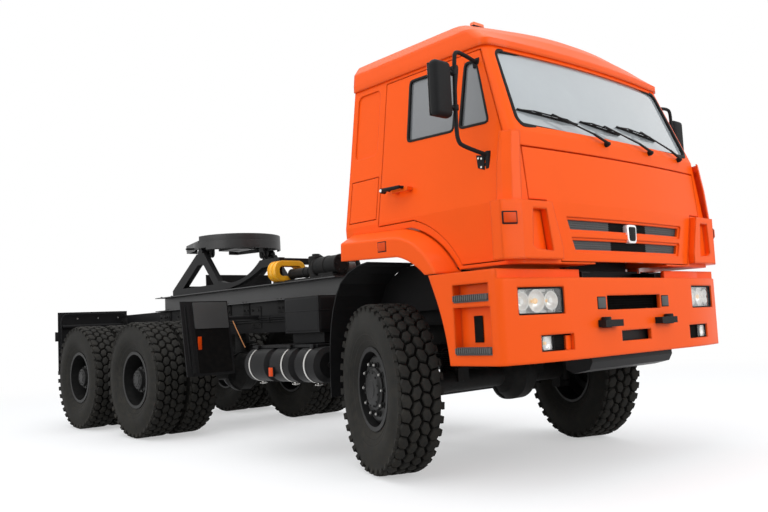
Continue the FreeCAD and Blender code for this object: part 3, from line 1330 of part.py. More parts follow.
def cab_fittings():
    """Wipers, roof lamps and mirrors."""
    wipers = []
    y = lambda distance: float(aft(distance))
    for pivot_x, tip_x, tip_z in ((-164, -640, 2205), (365, -130, 2205), (790, 330, 2200)):
        start = Vector(pivot_x, y(-1205), 2077)
        end = Vector(tip_x, y(-1172), tip_z)
        knob = Part.makeCylinder(18, 60, start + Vector(0, -15, 0), Vector(0, 1, 0))
        arm = Part.makeCylinder(7, (end - start).Length, start, end - start)
        along = Vector(-1, 0, 0.12).normalize()
        blade_start = end - along * 290
        blade = Part.makeCylinder(9, 580, blade_start, along)
        wipers.append(knob.fuse([arm, blade]).cut(cab_mass(CAB_LEVELS, -0.3, -0.3)))
    node("wipers", feature("wiper_set", Part.makeCompound(wipers)))
    lamps = []
    for middle in (-760, -190, 0, 190, 760):
        pod = Part.makeBox(130, 60, 60, Vector(middle - 65, y(-720), 2880 if abs(middle) < 700
                                               else 2838))
        lamps.append(pod.cut(cab_mass(ROOF_LEVELS, -0.3, -0.3)))
    node("roof_lamps", feature("roof_lamp_set", Part.makeCompound(lamps)))
    for side, word in ((-1, "right"), (1, "left")):
        def at(x, distance, height):
            return Vector(side * x, y(distance), height)
        route = (at(1000, -872, 2556), at(1231, -912, 2566), at(1241, -900, 2030),
                 at(1085, -1000, 1945))
        tube = None
        for first, last in zip(route, route[1:]):
            piece = Part.makeCylinder(13, (last - first).Length, first, last - first)
            piece = piece.fuse(Part.makeSphere(13, last))
            tube = piece if tube is None else tube.fuse(piece)
        foot = Part.makeBox(70, 80, 60, at(1085, -1000, 1915) - Vector(35, 40, 0))
        head = Part.makeBox(180, 90, 340, at(1325, -880, 2165) - Vector(90, 45, 0))
        head = head.makeFillet(38, head.Edges)
        arm = Part.makeCylinder(12, 60, at(1225, -900, 2330), Vector(side, 0, 0))
        mirror_shape = tube.fuse([foot, head, arm]).cut(cab_mass(CAB_LEVELS, -0.2, -0.2))
        mirror_shape = mirror_shape.Solids[0] if len(mirror_shape.Solids) > 1 else mirror_shape
        node(f"mirror_{word}", feature(f"mirror_shape_{word}", mirror_shape))


def check_and_write():
    """Stops on any failed object or shape, then writes one STEP file for each sub-part."""
    doc.recompute()
    failed = [item.Name for item in doc.Objects
              if "Invalid" in item.State or "Error" in item.State]
    failed += [label for label, item in nodes.items()
               if item.Shape.isNull() or not item.Shape.isValid() or not item.Shape.Solids]
    if failed:
        raise RuntimeError("failed: " + ", ".join(failed))
    os.makedirs("parts", exist_ok=True)
    for label, item in nodes.items():
        item.Shape.exportStep(os.path.join("parts", label + ".step"))


def main():
    """Builds every sub-part."""
    frame_rails()
    subframe()
    coupling_stand()
    coupling_plate()
    cab()
    cab_fenders()
    corner_deflectors()
    cab_inside()
    cab_fittings()
    wheel_parts()
    axle_housings()
    steering()
    leaf_springs()
    power_train()
    tanks_and_boxes()
    winch()
    mudguards()
    bumper()
    bumper_fittings()
    check_and_write()


main()
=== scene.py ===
"""A six-wheel-drive cab-over tractor unit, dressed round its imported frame."""

import json
import logging
import math
from dataclasses import dataclass, replace
from enum import Enum
from functools import cache
from typing import Iterable, Sequence

import bmesh
import bpy
from mathutils import Matrix, Vector
from mathutils.bvhtree import BVHTree


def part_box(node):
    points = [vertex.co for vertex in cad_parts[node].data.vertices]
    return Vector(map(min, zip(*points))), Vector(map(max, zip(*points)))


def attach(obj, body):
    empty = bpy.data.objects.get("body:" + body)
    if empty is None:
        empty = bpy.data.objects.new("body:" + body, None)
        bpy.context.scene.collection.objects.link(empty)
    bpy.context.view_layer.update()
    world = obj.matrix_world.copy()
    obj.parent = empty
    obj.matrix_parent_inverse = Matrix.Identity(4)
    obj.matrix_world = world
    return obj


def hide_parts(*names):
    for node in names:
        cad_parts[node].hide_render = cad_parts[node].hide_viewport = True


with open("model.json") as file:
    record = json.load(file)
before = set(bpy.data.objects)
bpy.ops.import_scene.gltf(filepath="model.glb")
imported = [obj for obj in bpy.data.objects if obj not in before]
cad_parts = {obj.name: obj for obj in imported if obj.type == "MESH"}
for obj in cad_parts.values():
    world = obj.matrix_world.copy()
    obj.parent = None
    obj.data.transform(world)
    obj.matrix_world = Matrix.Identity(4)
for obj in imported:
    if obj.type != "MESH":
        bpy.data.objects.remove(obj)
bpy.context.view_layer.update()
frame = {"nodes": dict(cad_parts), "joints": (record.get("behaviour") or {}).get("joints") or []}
LOG = logging.getLogger("tractor")
Point = Colour = tuple[float, float, float]
Profile = Sequence[tuple[float, float]]
Triple = Sequence[float]
Tree = bpy.types.NodeTree
Socket = bpy.types.NodeSocket
UP = Vector((0.0, 0.0, 1.0))
FLOOR_SIZE = 60.0
SIDES = (("right", -1), ("left", 1))


# ---------------------------------------------------------------- finishes
class Grain(Enum):
    """What a surface's fine relief is like."""

    NONE = "none"
    PEEL = "peel"
    CAST = "cast"
    RUBBER = "rubber"
    CLOTH = "cloth"
    MOULDED = "moulded"


GRAIN_SCALE = {Grain.PEEL: (90.0, 0.00025), Grain.CAST: (260.0, 0.0012),
    Grain.RUBBER: (420.0, 0.0008), Grain.CLOTH: (900.0, 0.001), Grain.MOULDED: (700.0, 0.0004)}


class Graph:
    """A shader node tree that is filled by short calls."""

    kinds = {"Vector": "NodeSocketVector", "Normal": "NodeSocketVector", "Color": "NodeSocketColor",
        "Dust Color": "NodeSocketColor", "Wear Color": "NodeSocketColor"}

    def __init__(self, tree: Tree) -> None:
        """Takes over an empty tree."""
        self.tree = tree
        self.entry: dict = {}

    @classmethod
    def group(cls, name: str, inputs: Sequence[str], outputs: Sequence[str]) -> "Graph":
        """Starts a node group.

        Args:
            name: the group's name.
            inputs: each input's name, which also says its type.
            outputs: each output's name.

        Returns:
            The group's graph, with its inputs in entry.
        """
        graph = cls(bpy.data.node_groups.new(name, "ShaderNodeTree"))
        for direction, labels in (("INPUT", inputs), ("OUTPUT", outputs)):
            for label in labels:
                graph.tree.interface.new_socket(label, in_out=direction,
                    socket_type=cls.kinds.get(label, "NodeSocketFloat"))
        graph.entry = dict(graph.add("NodeGroupInput").outputs.items())
        return graph

    @classmethod
    def owned(cls, owner: bpy.types.Material | bpy.types.World) -> "Graph":
        """The emptied tree of a material or world."""
        owner.use_nodes = True
        owner.node_tree.nodes.clear()
        return cls(owner.node_tree)

    def add(self, kind: str, links: dict | None = None, **settings: object) -> bpy.types.Node:
        """Adds one node, sets its properties, and fills or links its inputs.

        Args:
            kind: the node's type name, without "ShaderNode" in front.
            links: input name or number to a value or an output socket.
            **settings: node properties.

        Returns:
            The node.
        """
        node = self.tree.nodes.new(kind if kind.startswith("Node") else "ShaderNode" + kind)
        for key, value in settings.items():
            setattr(node, key, value)
        for key, value in (links or {}).items():
            if isinstance(value, Socket):
                self.tree.links.new(value, node.inputs[key])
            else:
                node.inputs[key].default_value = value
        return node

    def maths(self, operation: str, *values: float | Socket, clamp: bool = False) -> Socket:
        """The outcome of a sum."""
        return self.add("Math", dict(enumerate(values)), operation=operation,
            use_clamp=clamp).outputs[0]

    def remap(self, value: Socket, low: float, high: float, to_low: float = 0.0,
            to_high: float = 1.0, **settings: object) -> Socket:
        """A value carried from one range to another."""
        return self.add("MapRange", {"Value": value, "From Min": low, "From Max": high,
            "To Min": to_low, "To Max": to_high}, **settings).outputs[0]

    def noise(self, where: Socket, scale: float | Socket, detail: float,
            rough: float = 0.5) -> Socket:
        """A cloudy random value."""
        return self.add("TexNoise",
            {"Vector": where, "Scale": scale, "Detail": detail, "Roughness": rough}).outputs["Fac"]

    def blend(self, factor: Socket, first: Socket, second: Socket) -> Socket:
        """A colour between two others."""
        return self.add("Mix", {"Factor": factor, 6: first, 7: second}, data_type="RGBA").outputs[2]

    def height(self, vector: Socket) -> Socket:
        """A vector's upright part."""
        return self.add("SeparateXYZ", {0: vector}).outputs["Z"]

    def end(self, **results: Socket) -> Tree:
        """Closes a node group with its results and returns its tree."""
        self.add("NodeGroupOutput", results)
        return self.tree


@cache
def fine_relief() -> Tree:
    """The group that makes a fine random relief."""
    graph = Graph.group("fine_relief", ("Vector", "Scale"), ("Height",))
    return graph.end(Height=graph.noise(graph.entry["Vector"], graph.entry["Scale"], 5.0, 0.6))


@cache
def woven_relief() -> Tree:
    """The group that makes a woven relief."""
    graph = Graph.group("woven_relief", ("Vector", "Scale"), ("Height",))
    waves = [graph.add("TexWave", {"Vector": graph.entry["Vector"], "Scale": graph.entry["Scale"],
        "Distortion": 1.5}, bands_direction=way).outputs["Fac"] for way in ("X", "Z")]
    return graph.end(Height=graph.maths("MULTIPLY", *waves))


@cache
def road_dust() -> Tree:
    """The group that varies a colour and lays dust low down and on upward faces."""
    graph = Graph.group("road_dust",
        ("Vector", "Color", "Mottle", "Dust Color", "Dust", "Roughness"), ("Color", "Roughness"))
    entry, where = graph.entry, graph.entry["Vector"]
    broad = graph.noise(where, 2.6, 6.0, 0.62)
    shade = graph.remap(broad, 0.3, 0.7, -1.0)
    varied = graph.add("HueSaturation", {"Color": entry["Color"],
        "Value": graph.maths("MULTIPLY_ADD", shade, entry["Mottle"], 1.0)}).outputs["Color"]
    low = graph.remap(graph.height(where), 0.1, 1.5, 1.0, 0.12)
    facing = graph.add("NewGeometry").outputs["Normal"]
    shelf = graph.remap(graph.height(facing), 0.3, 1.0, 0.0, 0.45)
    patch = graph.remap(graph.noise(where, 21.0, 4.0), 0.35, 0.75)
    cloud = graph.maths("MULTIPLY", patch, broad)
    amount = graph.maths("MULTIPLY", graph.maths("ADD", low, shelf), cloud)
    final = graph.maths("MULTIPLY", amount, entry["Dust"], clamp=True)
    return graph.end(Color=graph.blend(final, varied, entry["Dust Color"]),
        Roughness=graph.maths("MULTIPLY_ADD", final, 0.5, entry["Roughness"], clamp=True))


@cache
def rubbed_edges() -> Tree:
    """The group that rounds edges in the shading and shows where they are rubbed."""
    graph = Graph.group("rubbed_edges", ("Vector", "Color", "Wear Color", "Wear", "Radius"),
        ("Color", "Normal"))
    entry = graph.entry
    soft = graph.add("Bevel", {"Radius": entry["Radius"]}, samples=4).outputs["Normal"]
    match = graph.add("VectorMath", {0: soft, 1: graph.add("NewGeometry").outputs["Normal"]},
        operation="DOT_PRODUCT").outputs["Value"]
    chips = graph.remap(graph.noise(entry["Vector"], 34.0, 6.0), 0.46, 0.62)
    mask = graph.maths("MULTIPLY", graph.remap(match, 0.98, 0.72), chips)
    amount = graph.maths("MULTIPLY", mask, entry["Wear"], clamp=True)
    return graph.end(Color=graph.blend(amount, entry["Color"], entry["Wear Color"]), Normal=soft)


@dataclass(frozen=True)
class Finish:
    """One surface finish: colour, gloss, relief, dust and rubbed edges."""

    name: str
    slot: str
    colour: Colour
    roughness: float = 0.5
    metallic: float = 0.0
    coat: float = 0.0
    grain: Grain = Grain.NONE
    depth: float = 1.0
    mottle: float = 0.05
    dust: float = 0.0
    dust_colour: Colour = (0.16, 0.13, 0.1)
    wear: float = 0.0
    wear_colour: Colour = (0.3, 0.29, 0.28)
    edge: float = 0.002
    clear: float = 0.0
    ior: float = 1.5
    sheen: float = 0.0
    glow: float = 0.0
    gloss: float = 0.5

    def material(self) -> bpy.types.Material:
        """The finish's material, made the first time it is asked for."""
        found = bpy.data.materials.get(self.name)
        if found:
            return found
        material = bpy.data.materials.new(self.name)
        graph = Graph.owned(material)
        where = graph.add("TexCoord").outputs["Object"]
        edges = graph.add("Group", {"Vector": where, "Wear": self.wear, "Radius": self.edge,
            "Color": (*self.colour, 1.0), "Wear Color": (*self.wear_colour, 1.0)},
            node_tree=rubbed_edges()).outputs
        soil = graph.add("Group",
            {"Vector": where, "Mottle": self.mottle, "Dust": self.dust, "Roughness": self.roughness,
            "Color": edges["Color"], "Dust Color": (*self.dust_colour, 1.0)},
            node_tree=road_dust()).outputs
        normal = edges["Normal"]
        if self.grain is not Grain.NONE:
            scale, depth = GRAIN_SCALE[self.grain]
            tree = woven_relief() if self.grain is Grain.CLOTH else fine_relief()
            relief = graph.add("Group", {"Vector": where, "Scale": scale}, node_tree=tree)
            normal = graph.add("Bump", {"Height": relief.outputs["Height"], "Strength": 1.0,
                "Distance": depth * self.depth, "Normal": normal}).outputs["Normal"]
        glow = {"Emission Color": (*self.colour, 1.0), "Emission Strength": self.glow}
        shader = graph.add("BsdfPrincipled",
            {"Metallic": self.metallic, "Coat Weight": self.coat, "Coat Roughness": 0.05,
            "IOR": self.ior, "Transmission Weight": self.clear, "Sheen Weight": self.sheen,
            "Specular IOR Level": self.gloss, "Base Color": soil["Color"],
            "Roughness": soil["Roughness"], "Normal": normal, **(glow if self.glow else {})})
        graph.add("OutputMaterial", {"Surface": shader.outputs[0]})
        return material


class Paint:
    """The truck's finishes."""

    ORANGE = Finish("orange_gloss", "orange_paint", (0.93, 0.1, 0.004), 0.4, coat=0.1,
        grain=Grain.PEEL, mottle=0.015, dust=0.01, edge=0.012, ior=1.4, gloss=0.12)
    MOULDING = replace(ORANGE, name="moulding_gloss", edge=0.022, gloss=0.15)
    ROOF = replace(ORANGE, name="roof_gloss", coat=0.12, dust=0.02, edge=0.035, gloss=0.2)
    BLACK = Finish("chassis_black", "black_paint", (0.0085, 0.0085, 0.009), 0.44, coat=0.03,
        grain=Grain.CAST, depth=0.25, mottle=0.2, dust=0.2, dust_colour=(0.06, 0.055, 0.048),
        wear=0.3, edge=0.003, ior=1.35, gloss=0.2)
    CAST = Finish("cast_black", "cast_iron", (0.011, 0.011, 0.011), 0.52, grain=Grain.CAST,
        mottle=0.25, dust=0.45, dust_colour=(0.065, 0.058, 0.05), wear=0.35, edge=0.004,
        ior=1.35, gloss=0.2)
    PLASTIC = Finish("black_plastic", "dark_plastic", (0.0105, 0.0105, 0.011), 0.55,
        grain=Grain.MOULDED, mottle=0.12, dust=0.22, dust_colour=(0.06, 0.057, 0.052), edge=0.003,
        ior=1.35, gloss=0.2)
    GREY = Finish("grey_plastic", "dark_plastic", (0.046, 0.049, 0.049), 0.5, grain=Grain.MOULDED,
        mottle=0.08, dust=0.1, edge=0.003)
    TREAD = Finish("step_tread", "dark_plastic", (0.085, 0.085, 0.083), 0.5, grain=Grain.MOULDED,
        mottle=0.2, dust=0.3)
    RUBBER = Finish("seal_rubber", "dark_plastic", (0.012, 0.012, 0.012), 0.5, grain=Grain.RUBBER,
        depth=0.4, dust=0.1, ior=1.35, gloss=0.2)
    TYRE = Finish("tyre_rubber", "tyre", (0.026, 0.0253, 0.0235), 0.75, grain=Grain.RUBBER,
        mottle=0.22, dust=0.65, dust_colour=(0.07, 0.061, 0.047), wear=0.45,
        wear_colour=(0.075, 0.066, 0.052), edge=0.004, ior=1.35, gloss=0.15)
    # Near-black rubber for the tread's base between the blocks: painted shade in the grooves,
    # darker than the tyre's own rubber.
    GROOVE_SHADE = Finish("tyre_groove", "tyre", (0.005, 0.0048, 0.0045), 0.85, grain=Grain.RUBBER,
        mottle=0.2, dust=0.3, dust_colour=(0.03, 0.026, 0.02), gloss=0.05)
    RIM = Finish("rim_black", "black_paint", (0.011, 0.011, 0.011), 0.45, coat=0.03,
        grain=Grain.CAST, depth=0.2, mottle=0.15, dust=0.25, dust_colour=(0.065, 0.06, 0.052),
        wear=0.25, edge=0.003, ior=1.4, gloss=0.3)
    SUBFRAME = Finish("upper_frame_paint", "black_paint", (0.03, 0.03, 0.031), 0.42, coat=0.1,
        grain=Grain.CAST, depth=0.2, mottle=0.15, dust=0.35, dust_colour=(0.085, 0.078, 0.068),
        wear=0.3, edge=0.003)
    # The windscreen's pale blue-grey, mostly opaque colour is partly painted sky reflection; its
    # coat gives a real reflection as well.
    GLASS = Finish("screen_glass", "window_glass", (0.52, 0.56, 0.58), 0.04, coat=1.0, clear=0.3,
        mottle=0.04, edge=0.0005)
    DARK_GLASS = Finish("door_glass", "window_glass", (0.25, 0.26, 0.27), 0.05, coat=1.0,
        clear=0.35, edge=0.0005)
    LENS = Finish("lamp_lens", "lamp_glass", (0.97, 0.97, 0.96), 0.03, clear=0.97,
        mottle=0.0, edge=0.001)
    CHROME = Finish("reflector", "lamp_glass", (0.9, 0.9, 0.89), 0.16, metallic=1.0,
        mottle=0.04, edge=0.001)
    # Silvered plastic with a faint glow of its own colour: painted glow, on the badge shield and
    # the lock as well as the lamp reflectors.
    SILVER = Finish("silvered_plastic", "lamp_glass", (0.86, 0.86, 0.85), 0.28, metallic=0.4,
        mottle=0.03, edge=0.001, glow=0.06)
    BULB = Finish("bulb_amber", "lamp_glass", (0.95, 0.62, 0.3), 0.15, mottle=0.0, glow=0.35)
    BRIGHT = Finish("bright_steel", "black_paint", (0.55, 0.54, 0.52), 0.32, metallic=1.0,
        mottle=0.15, dust=0.3, wear=0.3, edge=0.001)
    STEEL = Finish("worn_steel", "cast_iron", (0.17, 0.167, 0.162), 0.4, metallic=0.9,
        grain=Grain.CAST, depth=0.3, mottle=0.3, dust=0.3, wear=0.5)
    GREASED = Finish("greased_steel", "cast_iron", (0.03, 0.03, 0.03), 0.42, metallic=0.3,
        grain=Grain.CAST, depth=0.4, mottle=0.3, dust=0.3, wear=0.5, wear_colour=(0.12, 0.12, 0.12),
        edge=0.006, gloss=0.4)
    # Amber lenses and reflectors with a faint glow of their own colour: painted glow, which the
    # reflectors on the air tanks and mudguards get though they are no lamps.
    AMBER = Finish("amber_lamp", "amber_lens", (0.66, 0.06, 0.003), 0.3, mottle=0.1,
        glow=0.03, gloss=0.15)
    DOME = Finish("roof_lamp_dome", "amber_lens", (0.9, 0.16, 0.03), 0.25, coat=0.5,
        mottle=0.03, edge=0.006)
    RED = Finish("red_lamp", "red_lens", (0.5, 0.01, 0.008), 0.18, coat=0.5, mottle=0.08)
    YELLOW = Finish("guard_yellow", "yellow_paint", (0.9, 0.44, 0.012), 0.45, coat=0.2,
        grain=Grain.PEEL, dust=0.2, wear=0.2, edge=0.006)
    COPPER = Finish("copper_pipe", "black_paint", (0.38, 0.17, 0.07), 0.45, metallic=0.8,
        mottle=0.25, edge=0.001)
    CLOTH = Finish("seat_weave", "seat_cloth", (0.06, 0.062, 0.07), 0.85, sheen=0.3,
        grain=Grain.CLOTH, mottle=0.15, edge=0.006)
    INSIDE = Finish("dash_plastic", "dark_plastic", (0.04, 0.04, 0.042), 0.6, grain=Grain.MOULDED,
        mottle=0.08, edge=0.006)
    LINING = Finish("cab_lining", "seat_cloth", (0.22, 0.22, 0.22), 0.8, grain=Grain.CLOTH,
        mottle=0.08, edge=0.006)
    MESH = Finish("grille_black", "dark_plastic", (0.005, 0.005, 0.005), 0.6, grain=Grain.MOULDED,
        mottle=0.1, dust=0.1, edge=0.001, ior=1.3, gloss=0.1)
    WHITE = Finish("gauge_white", "dark_plastic", (0.75, 0.75, 0.72), 0.4, mottle=0.0)


# ---------------------------------------------------------------- modelling
def verts_in(geom: Iterable[object]) -> list[bmesh.types.BMVert]:
    """The vertices among an operator's results."""
    return [item for item in geom if isinstance(item, bmesh.types.BMVert)]


class Shape:
    """Gathers forms in one bmesh and turns them into a named piece."""

    def __init__(self, name: str, finish: Finish) -> None:
        """Starts an empty piece with its first finish."""
        self.name = name
        self.mesh = bmesh.new()
        self.known = self.mesh.faces.layers.int.new("known")
        self.finishes: list[Finish] = [finish]
        self.current = 0

    def use(self, finish: Finish) -> "Shape":
        """What is added next has this finish."""
        if finish not in self.finishes:
            self.finishes.append(finish)
        self.current = self.finishes.index(finish)
        return self

    def mark(self) -> None:
        """Gives the faces that are new the current finish."""
        for face in self.mesh.faces:
            if not face[self.known]:
                face.material_index = self.current
                face[self.known] = 1

    def soften(self, edges: Iterable[bmesh.types.BMEdge], width: float, segments: int) -> None:
        """Bevels edges."""
        if width > 0:
            bmesh.ops.bevel(self.mesh, geom=list(edges), offset=width, segments=segments,
                profile=0.5, affect="EDGES", material=-1, clamp_overlap=True)

    def block(self, low: Triple, high: Triple, bevel: float = 0.003, segments: int = 2,
            turn: Matrix | None = None) -> "Shape":
        """A box between two corners with rounded edges.

        Args:
            low: lowest corner.
            high: highest corner.
            bevel: edge radius.
            segments: steps in each edge.
            turn: a transform applied about the box's middle.

        Returns:
            The shape itself.
        """
        size = Vector(high) - Vector(low)
        middle = (Vector(high) + Vector(low)) / 2
        made = bmesh.ops.create_cube(self.mesh, size=1.0)["verts"]
        bmesh.ops.scale(self.mesh, vec=size, verts=made)
        if turn is not None:
            bmesh.ops.transform(self.mesh, matrix=turn, verts=made)
        bmesh.ops.translate(self.mesh, vec=middle, verts=made)
        edges = {edge for vert in made for edge in vert.link_edges}
        self.soften(edges, min(bevel, 0.45 * min(size)), segments)
        self.mark()
        return self

    def drum(self, start: Triple, end: Triple, radius: float, sides: int = 20,
            tip: float | None = None, bevel: float = 0.0) -> "Shape":
        """A round bar between two points, tapered if a tip radius is given."""
        start, end = Vector(start), Vector(end)
        way = end - start
        turn = way.to_track_quat("Z", "Y").to_matrix().to_4x4()
        place = Matrix.Translation((start + end) / 2) @ turn
        made = bmesh.ops.create_cone(self.mesh, cap_ends=True, cap_tris=False, segments=sides,
            radius1=radius, radius2=radius if tip is None else tip, depth=way.length,
            matrix=place)["verts"]
        if bevel:
            faces = {face for vert in made for face in vert.link_faces if len(face.verts) > 4}
            self.soften({edge for face in faces for edge in face.edges}, bevel, 2)
        self.mark()
        return self

    def stud(self, spot: Vector, height: float, radius: float, sides: int = 20,
            bevel: float = 0.0) -> "Shape":
        """A round bar that stands upright on a spot."""
        return self.drum(spot, spot + UP * height, radius, sides, bevel=bevel)

    def bolts(self, spots: Iterable[Triple], way: Triple, radius: float, height: float,
            sides: int = 6) -> "Shape":
        """Bolt heads that stand on a surface."""
        for spot in spots:
            base = Vector(spot)
            self.drum(base, base + Vector(way) * height, radius, sides)
        return self

    def turned(self, profile: Profile, centre: Triple, axis: Triple, steps: int = 48,
            closed: bool = False) -> "Shape":
        """A profile of (along, radius) spun about an axis through a centre."""
        place = Matrix.Translation(Vector(centre)) @ Vector(axis).to_track_quat("Z",
            "Y").to_matrix().to_4x4()
        verts = [self.mesh.verts.new((radius, 0.0, along)) for along, radius in profile]
        pairs = list(zip(verts, verts[1:]))
        if closed:
            pairs.append((verts[-1], verts[0]))
        edges = [self.mesh.edges.new(pair) for pair in pairs]
        before = set(self.mesh.verts) - set(verts)
        bmesh.ops.spin(self.mesh, geom=verts + edges, cent=(0, 0, 0), axis=(0, 0, 1),
            angle=2 * math.pi, steps=steps, use_merge=True)
        made = [vert for vert in self.mesh.verts if vert not in before]
        bmesh.ops.remove_doubles(self.mesh, verts=made, dist=1e-6)
        made = [vert for vert in self.mesh.verts if vert not in before]
        faces = list({face for vert in made for face in vert.link_faces})
        bmesh.ops.transform(self.mesh, matrix=place, verts=made)
        bmesh.ops.recalc_face_normals(self.mesh, faces=faces)
        self.mark()
        return self

    def hoop(self, half: float, inner: float, outer: float, centre: Triple, axis: Triple,
            steps: int) -> "Shape":
        """A square-edged ring about an axis."""
        return self.turned(((-half, inner), (half, inner), (half, outer), (-half, outer)), centre,
            axis, steps, closed=True)

    def slab(self, corners: Sequence[Triple], depth: Triple, bevel: float = 0.0,
            segments: int = 2) -> "Shape":
        """A flat outline pushed through a depth."""
        face = self.mesh.faces.new([self.mesh.verts.new(corner) for corner in corners])
        pushed = bmesh.ops.extrude_face_region(self.mesh, geom=[face])["geom"]
        tops = verts_in(pushed)
        bmesh.ops.translate(self.mesh, vec=Vector(depth), verts=tops)
        verts = set(tops) | set(face.verts)
        faces = list({near for vert in verts for near in vert.link_faces})
        bmesh.ops.recalc_face_normals(self.mesh, faces=faces)
        self.soften({edge for near in faces for edge in near.edges}, bevel, segments)
        self.mark()
        return self

    def band(self, route: Sequence[Triple], outward: Sequence[Triple], section: Profile,
            closed: bool = False) -> "Shape":
        """A section of (across, out) carried along a route over a surface.

        Args:
            route: points on the surface.
            outward: the surface's direction outwards at each point.
            section: the band's section, a closed loop.
            closed: whether the route comes back to its start.

        Returns:
            The shape itself.
        """
        points = [Vector(point) for point in route]
        rings = []
        count = len(points)
        for number, point in enumerate(points):
            after = points[(number + 1) % count] if closed or number + 1 < count else point
            before = points[number - 1] if closed or number else point
            along = (after - before).normalized()
            out = Vector(outward[number]).normalized()
            across = along.cross(out).normalized()
            verts = [self.mesh.verts.new(point + across * side + out * rise)
                for side, rise in section]
            rings.append([self.mesh.edges.new(pair) for pair in zip(verts, verts[1:] + verts[:1])])
        pairs = list(zip(rings, rings[1:])) + ([(rings[-1], rings[0])] if closed else [])
        faces = []
        for first, second in pairs:
            faces += bmesh.ops.bridge_loops(self.mesh, edges=first + second)["faces"]
        if not closed:
            for ring in (rings[0], rings[-1]):
                faces += bmesh.ops.holes_fill(self.mesh, edges=ring, sides=0)["faces"]
        bmesh.ops.recalc_face_normals(self.mesh, faces=faces)
        self.mark()
        return self

    def pipe(self, route: Sequence[Triple], radius: float, sides: int = 3,
            bend: int = 3) -> "Shape":
        """A round tube that bends smoothly past the points of a route."""
        line = bpy.data.curves.new("pipe_line", "CURVE")
        line.dimensions = "3D"
        line.bevel_depth = radius
        line.bevel_resolution = sides
        line.resolution_u = 5
        line.use_fill_caps = True
        spline = line.splines.new("NURBS")
        spline.points.add(len(route) - 1)
        for knot, spot in zip(spline.points, route):
            knot.co = (*spot, 1.0)
        spline.order_u = bend
        spline.use_endpoint_u = True
        holder = bpy.data.objects.new("pipe_line", line)
        made = bpy.data.meshes.new_from_object(holder)
        self.mesh.from_mesh(made)
        bpy.data.objects.remove(holder)
        bpy.data.curves.remove(line)
        bpy.data.meshes.remove(made)
        self.mark()
        return self

    def place(self, matrix: Matrix) -> "Shape":
        """Moves everything so far."""
        bmesh.ops.transform(self.mesh, matrix=matrix, verts=self.mesh.verts)
        return self

    def twin(self) -> "Shape":
        """Adds the same again on the truck's other side."""
        both = bmesh.ops.duplicate(self.mesh,
            geom=list(self.mesh.verts) + list(self.mesh.edges) + list(self.mesh.faces))["geom"]
        faces = [item for item in both if isinstance(item, bmesh.types.BMFace)]
        bmesh.ops.scale(self.mesh, vec=(-1, 1, 1), verts=verts_in(both))
        bmesh.ops.reverse_faces(self.mesh, faces=faces)
        return self

    def done(self, body: str, *stands_for: str, sharp: float = 38.0) -> bpy.types.Object:
        """Makes the object, which rides on a body and may stand for nodes.

        Args:
            body: the body that carries the piece.
            *stands_for: nodes that the piece takes the place of.
            sharp: angle in degrees over which an edge stays sharp.

        Returns:
            The finished object.
        """
        data = bpy.data.meshes.new(self.name)
        self.mesh.faces.layers.int.remove(self.known)
        self.mesh.to_mesh(data)
        self.mesh.free()
        for finish in self.finishes:
            data.materials.append(finish.material())
        data.shade_smooth()
        data.set_sharp_from_angle(angle=math.radians(sharp))
        piece = bpy.data.objects.new(self.name, data)
        bpy.context.scene.collection.objects.link(piece)
        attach(piece, body)
        if stands_for:
            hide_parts(*stands_for)
        LOG.info("%s: %d faces on %s", self.name, len(data.polygons), body)
        return piece


def ribbon(width: float, height: float, edge: float = 0.3) -> Profile:
    """A low band's section with sloped shoulders."""
    half, inner = width / 2, width / 2 * (1 - edge)
    return ((-half, -0.002), (half, -0.002), (half, height * 0.5), (inner, height),
        (-inner, height), (-half, height * 0.5))


def rounded(corners: Sequence[tuple[float, float]], radius: float,
        steps: int = 4) -> list[tuple[float, float]]:
    """A flat outline with its corners rounded."""
    points = []
    count = len(corners)
    for number, corner in enumerate(corners):
        here = Vector(corner)
        before = (Vector(corners[number - 1]) - here)
        after = (Vector(corners[(number + 1) % count]) - here)
        reach = min(radius, before.length * 0.45, after.length * 0.45)
        first, last = here + before.normalized() * reach, here + after.normalized() * reach
        for step in range(steps + 1):
            part = step / steps
            bend = first.lerp(here, part).lerp(here.lerp(last, part), part)
            points.append((bend.x, bend.y))
    return points


class Skin:
    """Finds points on the outside of some of the frame's nodes."""

    def __init__(self, *names: str) -> None:
        """Gathers the nodes' faces."""
        verts, faces = [], []
        for name in names:
            mesh = frame["nodes"][name].data
            start = len(verts)
            verts += [vert.co.copy() for vert in mesh.vertices]
            faces += [[start + index for index in face.vertices] for face in mesh.polygons]
        self.tree = BVHTree.FromPolygons(verts, faces)

    def hit(self, origin: Triple, way: Triple) -> tuple[Vector, Vector]:
        """The first point and outward direction met along a line."""
        spot, normal, _, _ = self.tree.ray_cast(Vector(origin), Vector(way))
        if spot is None:
            return Vector(origin), -Vector(way)
        return spot, normal if normal.dot(Vector(way)) < 0 else -normal

    def front(self, across: float, height: float) -> tuple[Vector, Vector]:
        """The front face at a place across and up."""
        return self.hit((across, -6.0, height), (0, 1, 0))

    def flank(self, side: int, along: float, height: float) -> tuple[Vector, Vector]:
        """A side face at a place along and up."""
        return self.hit((side * 3.0, along, height), (-side, 0, 0))


# ---------------------------------------------------------------- places
class Datum:
    """The frame's main places, from its joints."""

    def __init__(self) -> None:
        """Reads the axles' places."""
        self.joints = {joint["name"]: joint for joint in frame["joints"]}
        _, self.front_axle, self.hub_height = self.joints["steer_right"]["pos_m"]
        self.mid_axle = self.joints["mid_wheels_right_spin"]["pos_m"][1]
        self.rear_axle = self.joints["rear_wheels_right_spin"]["pos_m"][1]

    def at(self, across: float, aft: float, height: float) -> Vector:
        """A point measured back from the front axle."""
        return Vector((across, self.front_axle + aft, height))


DATUM = Datum()
at = DATUM.at


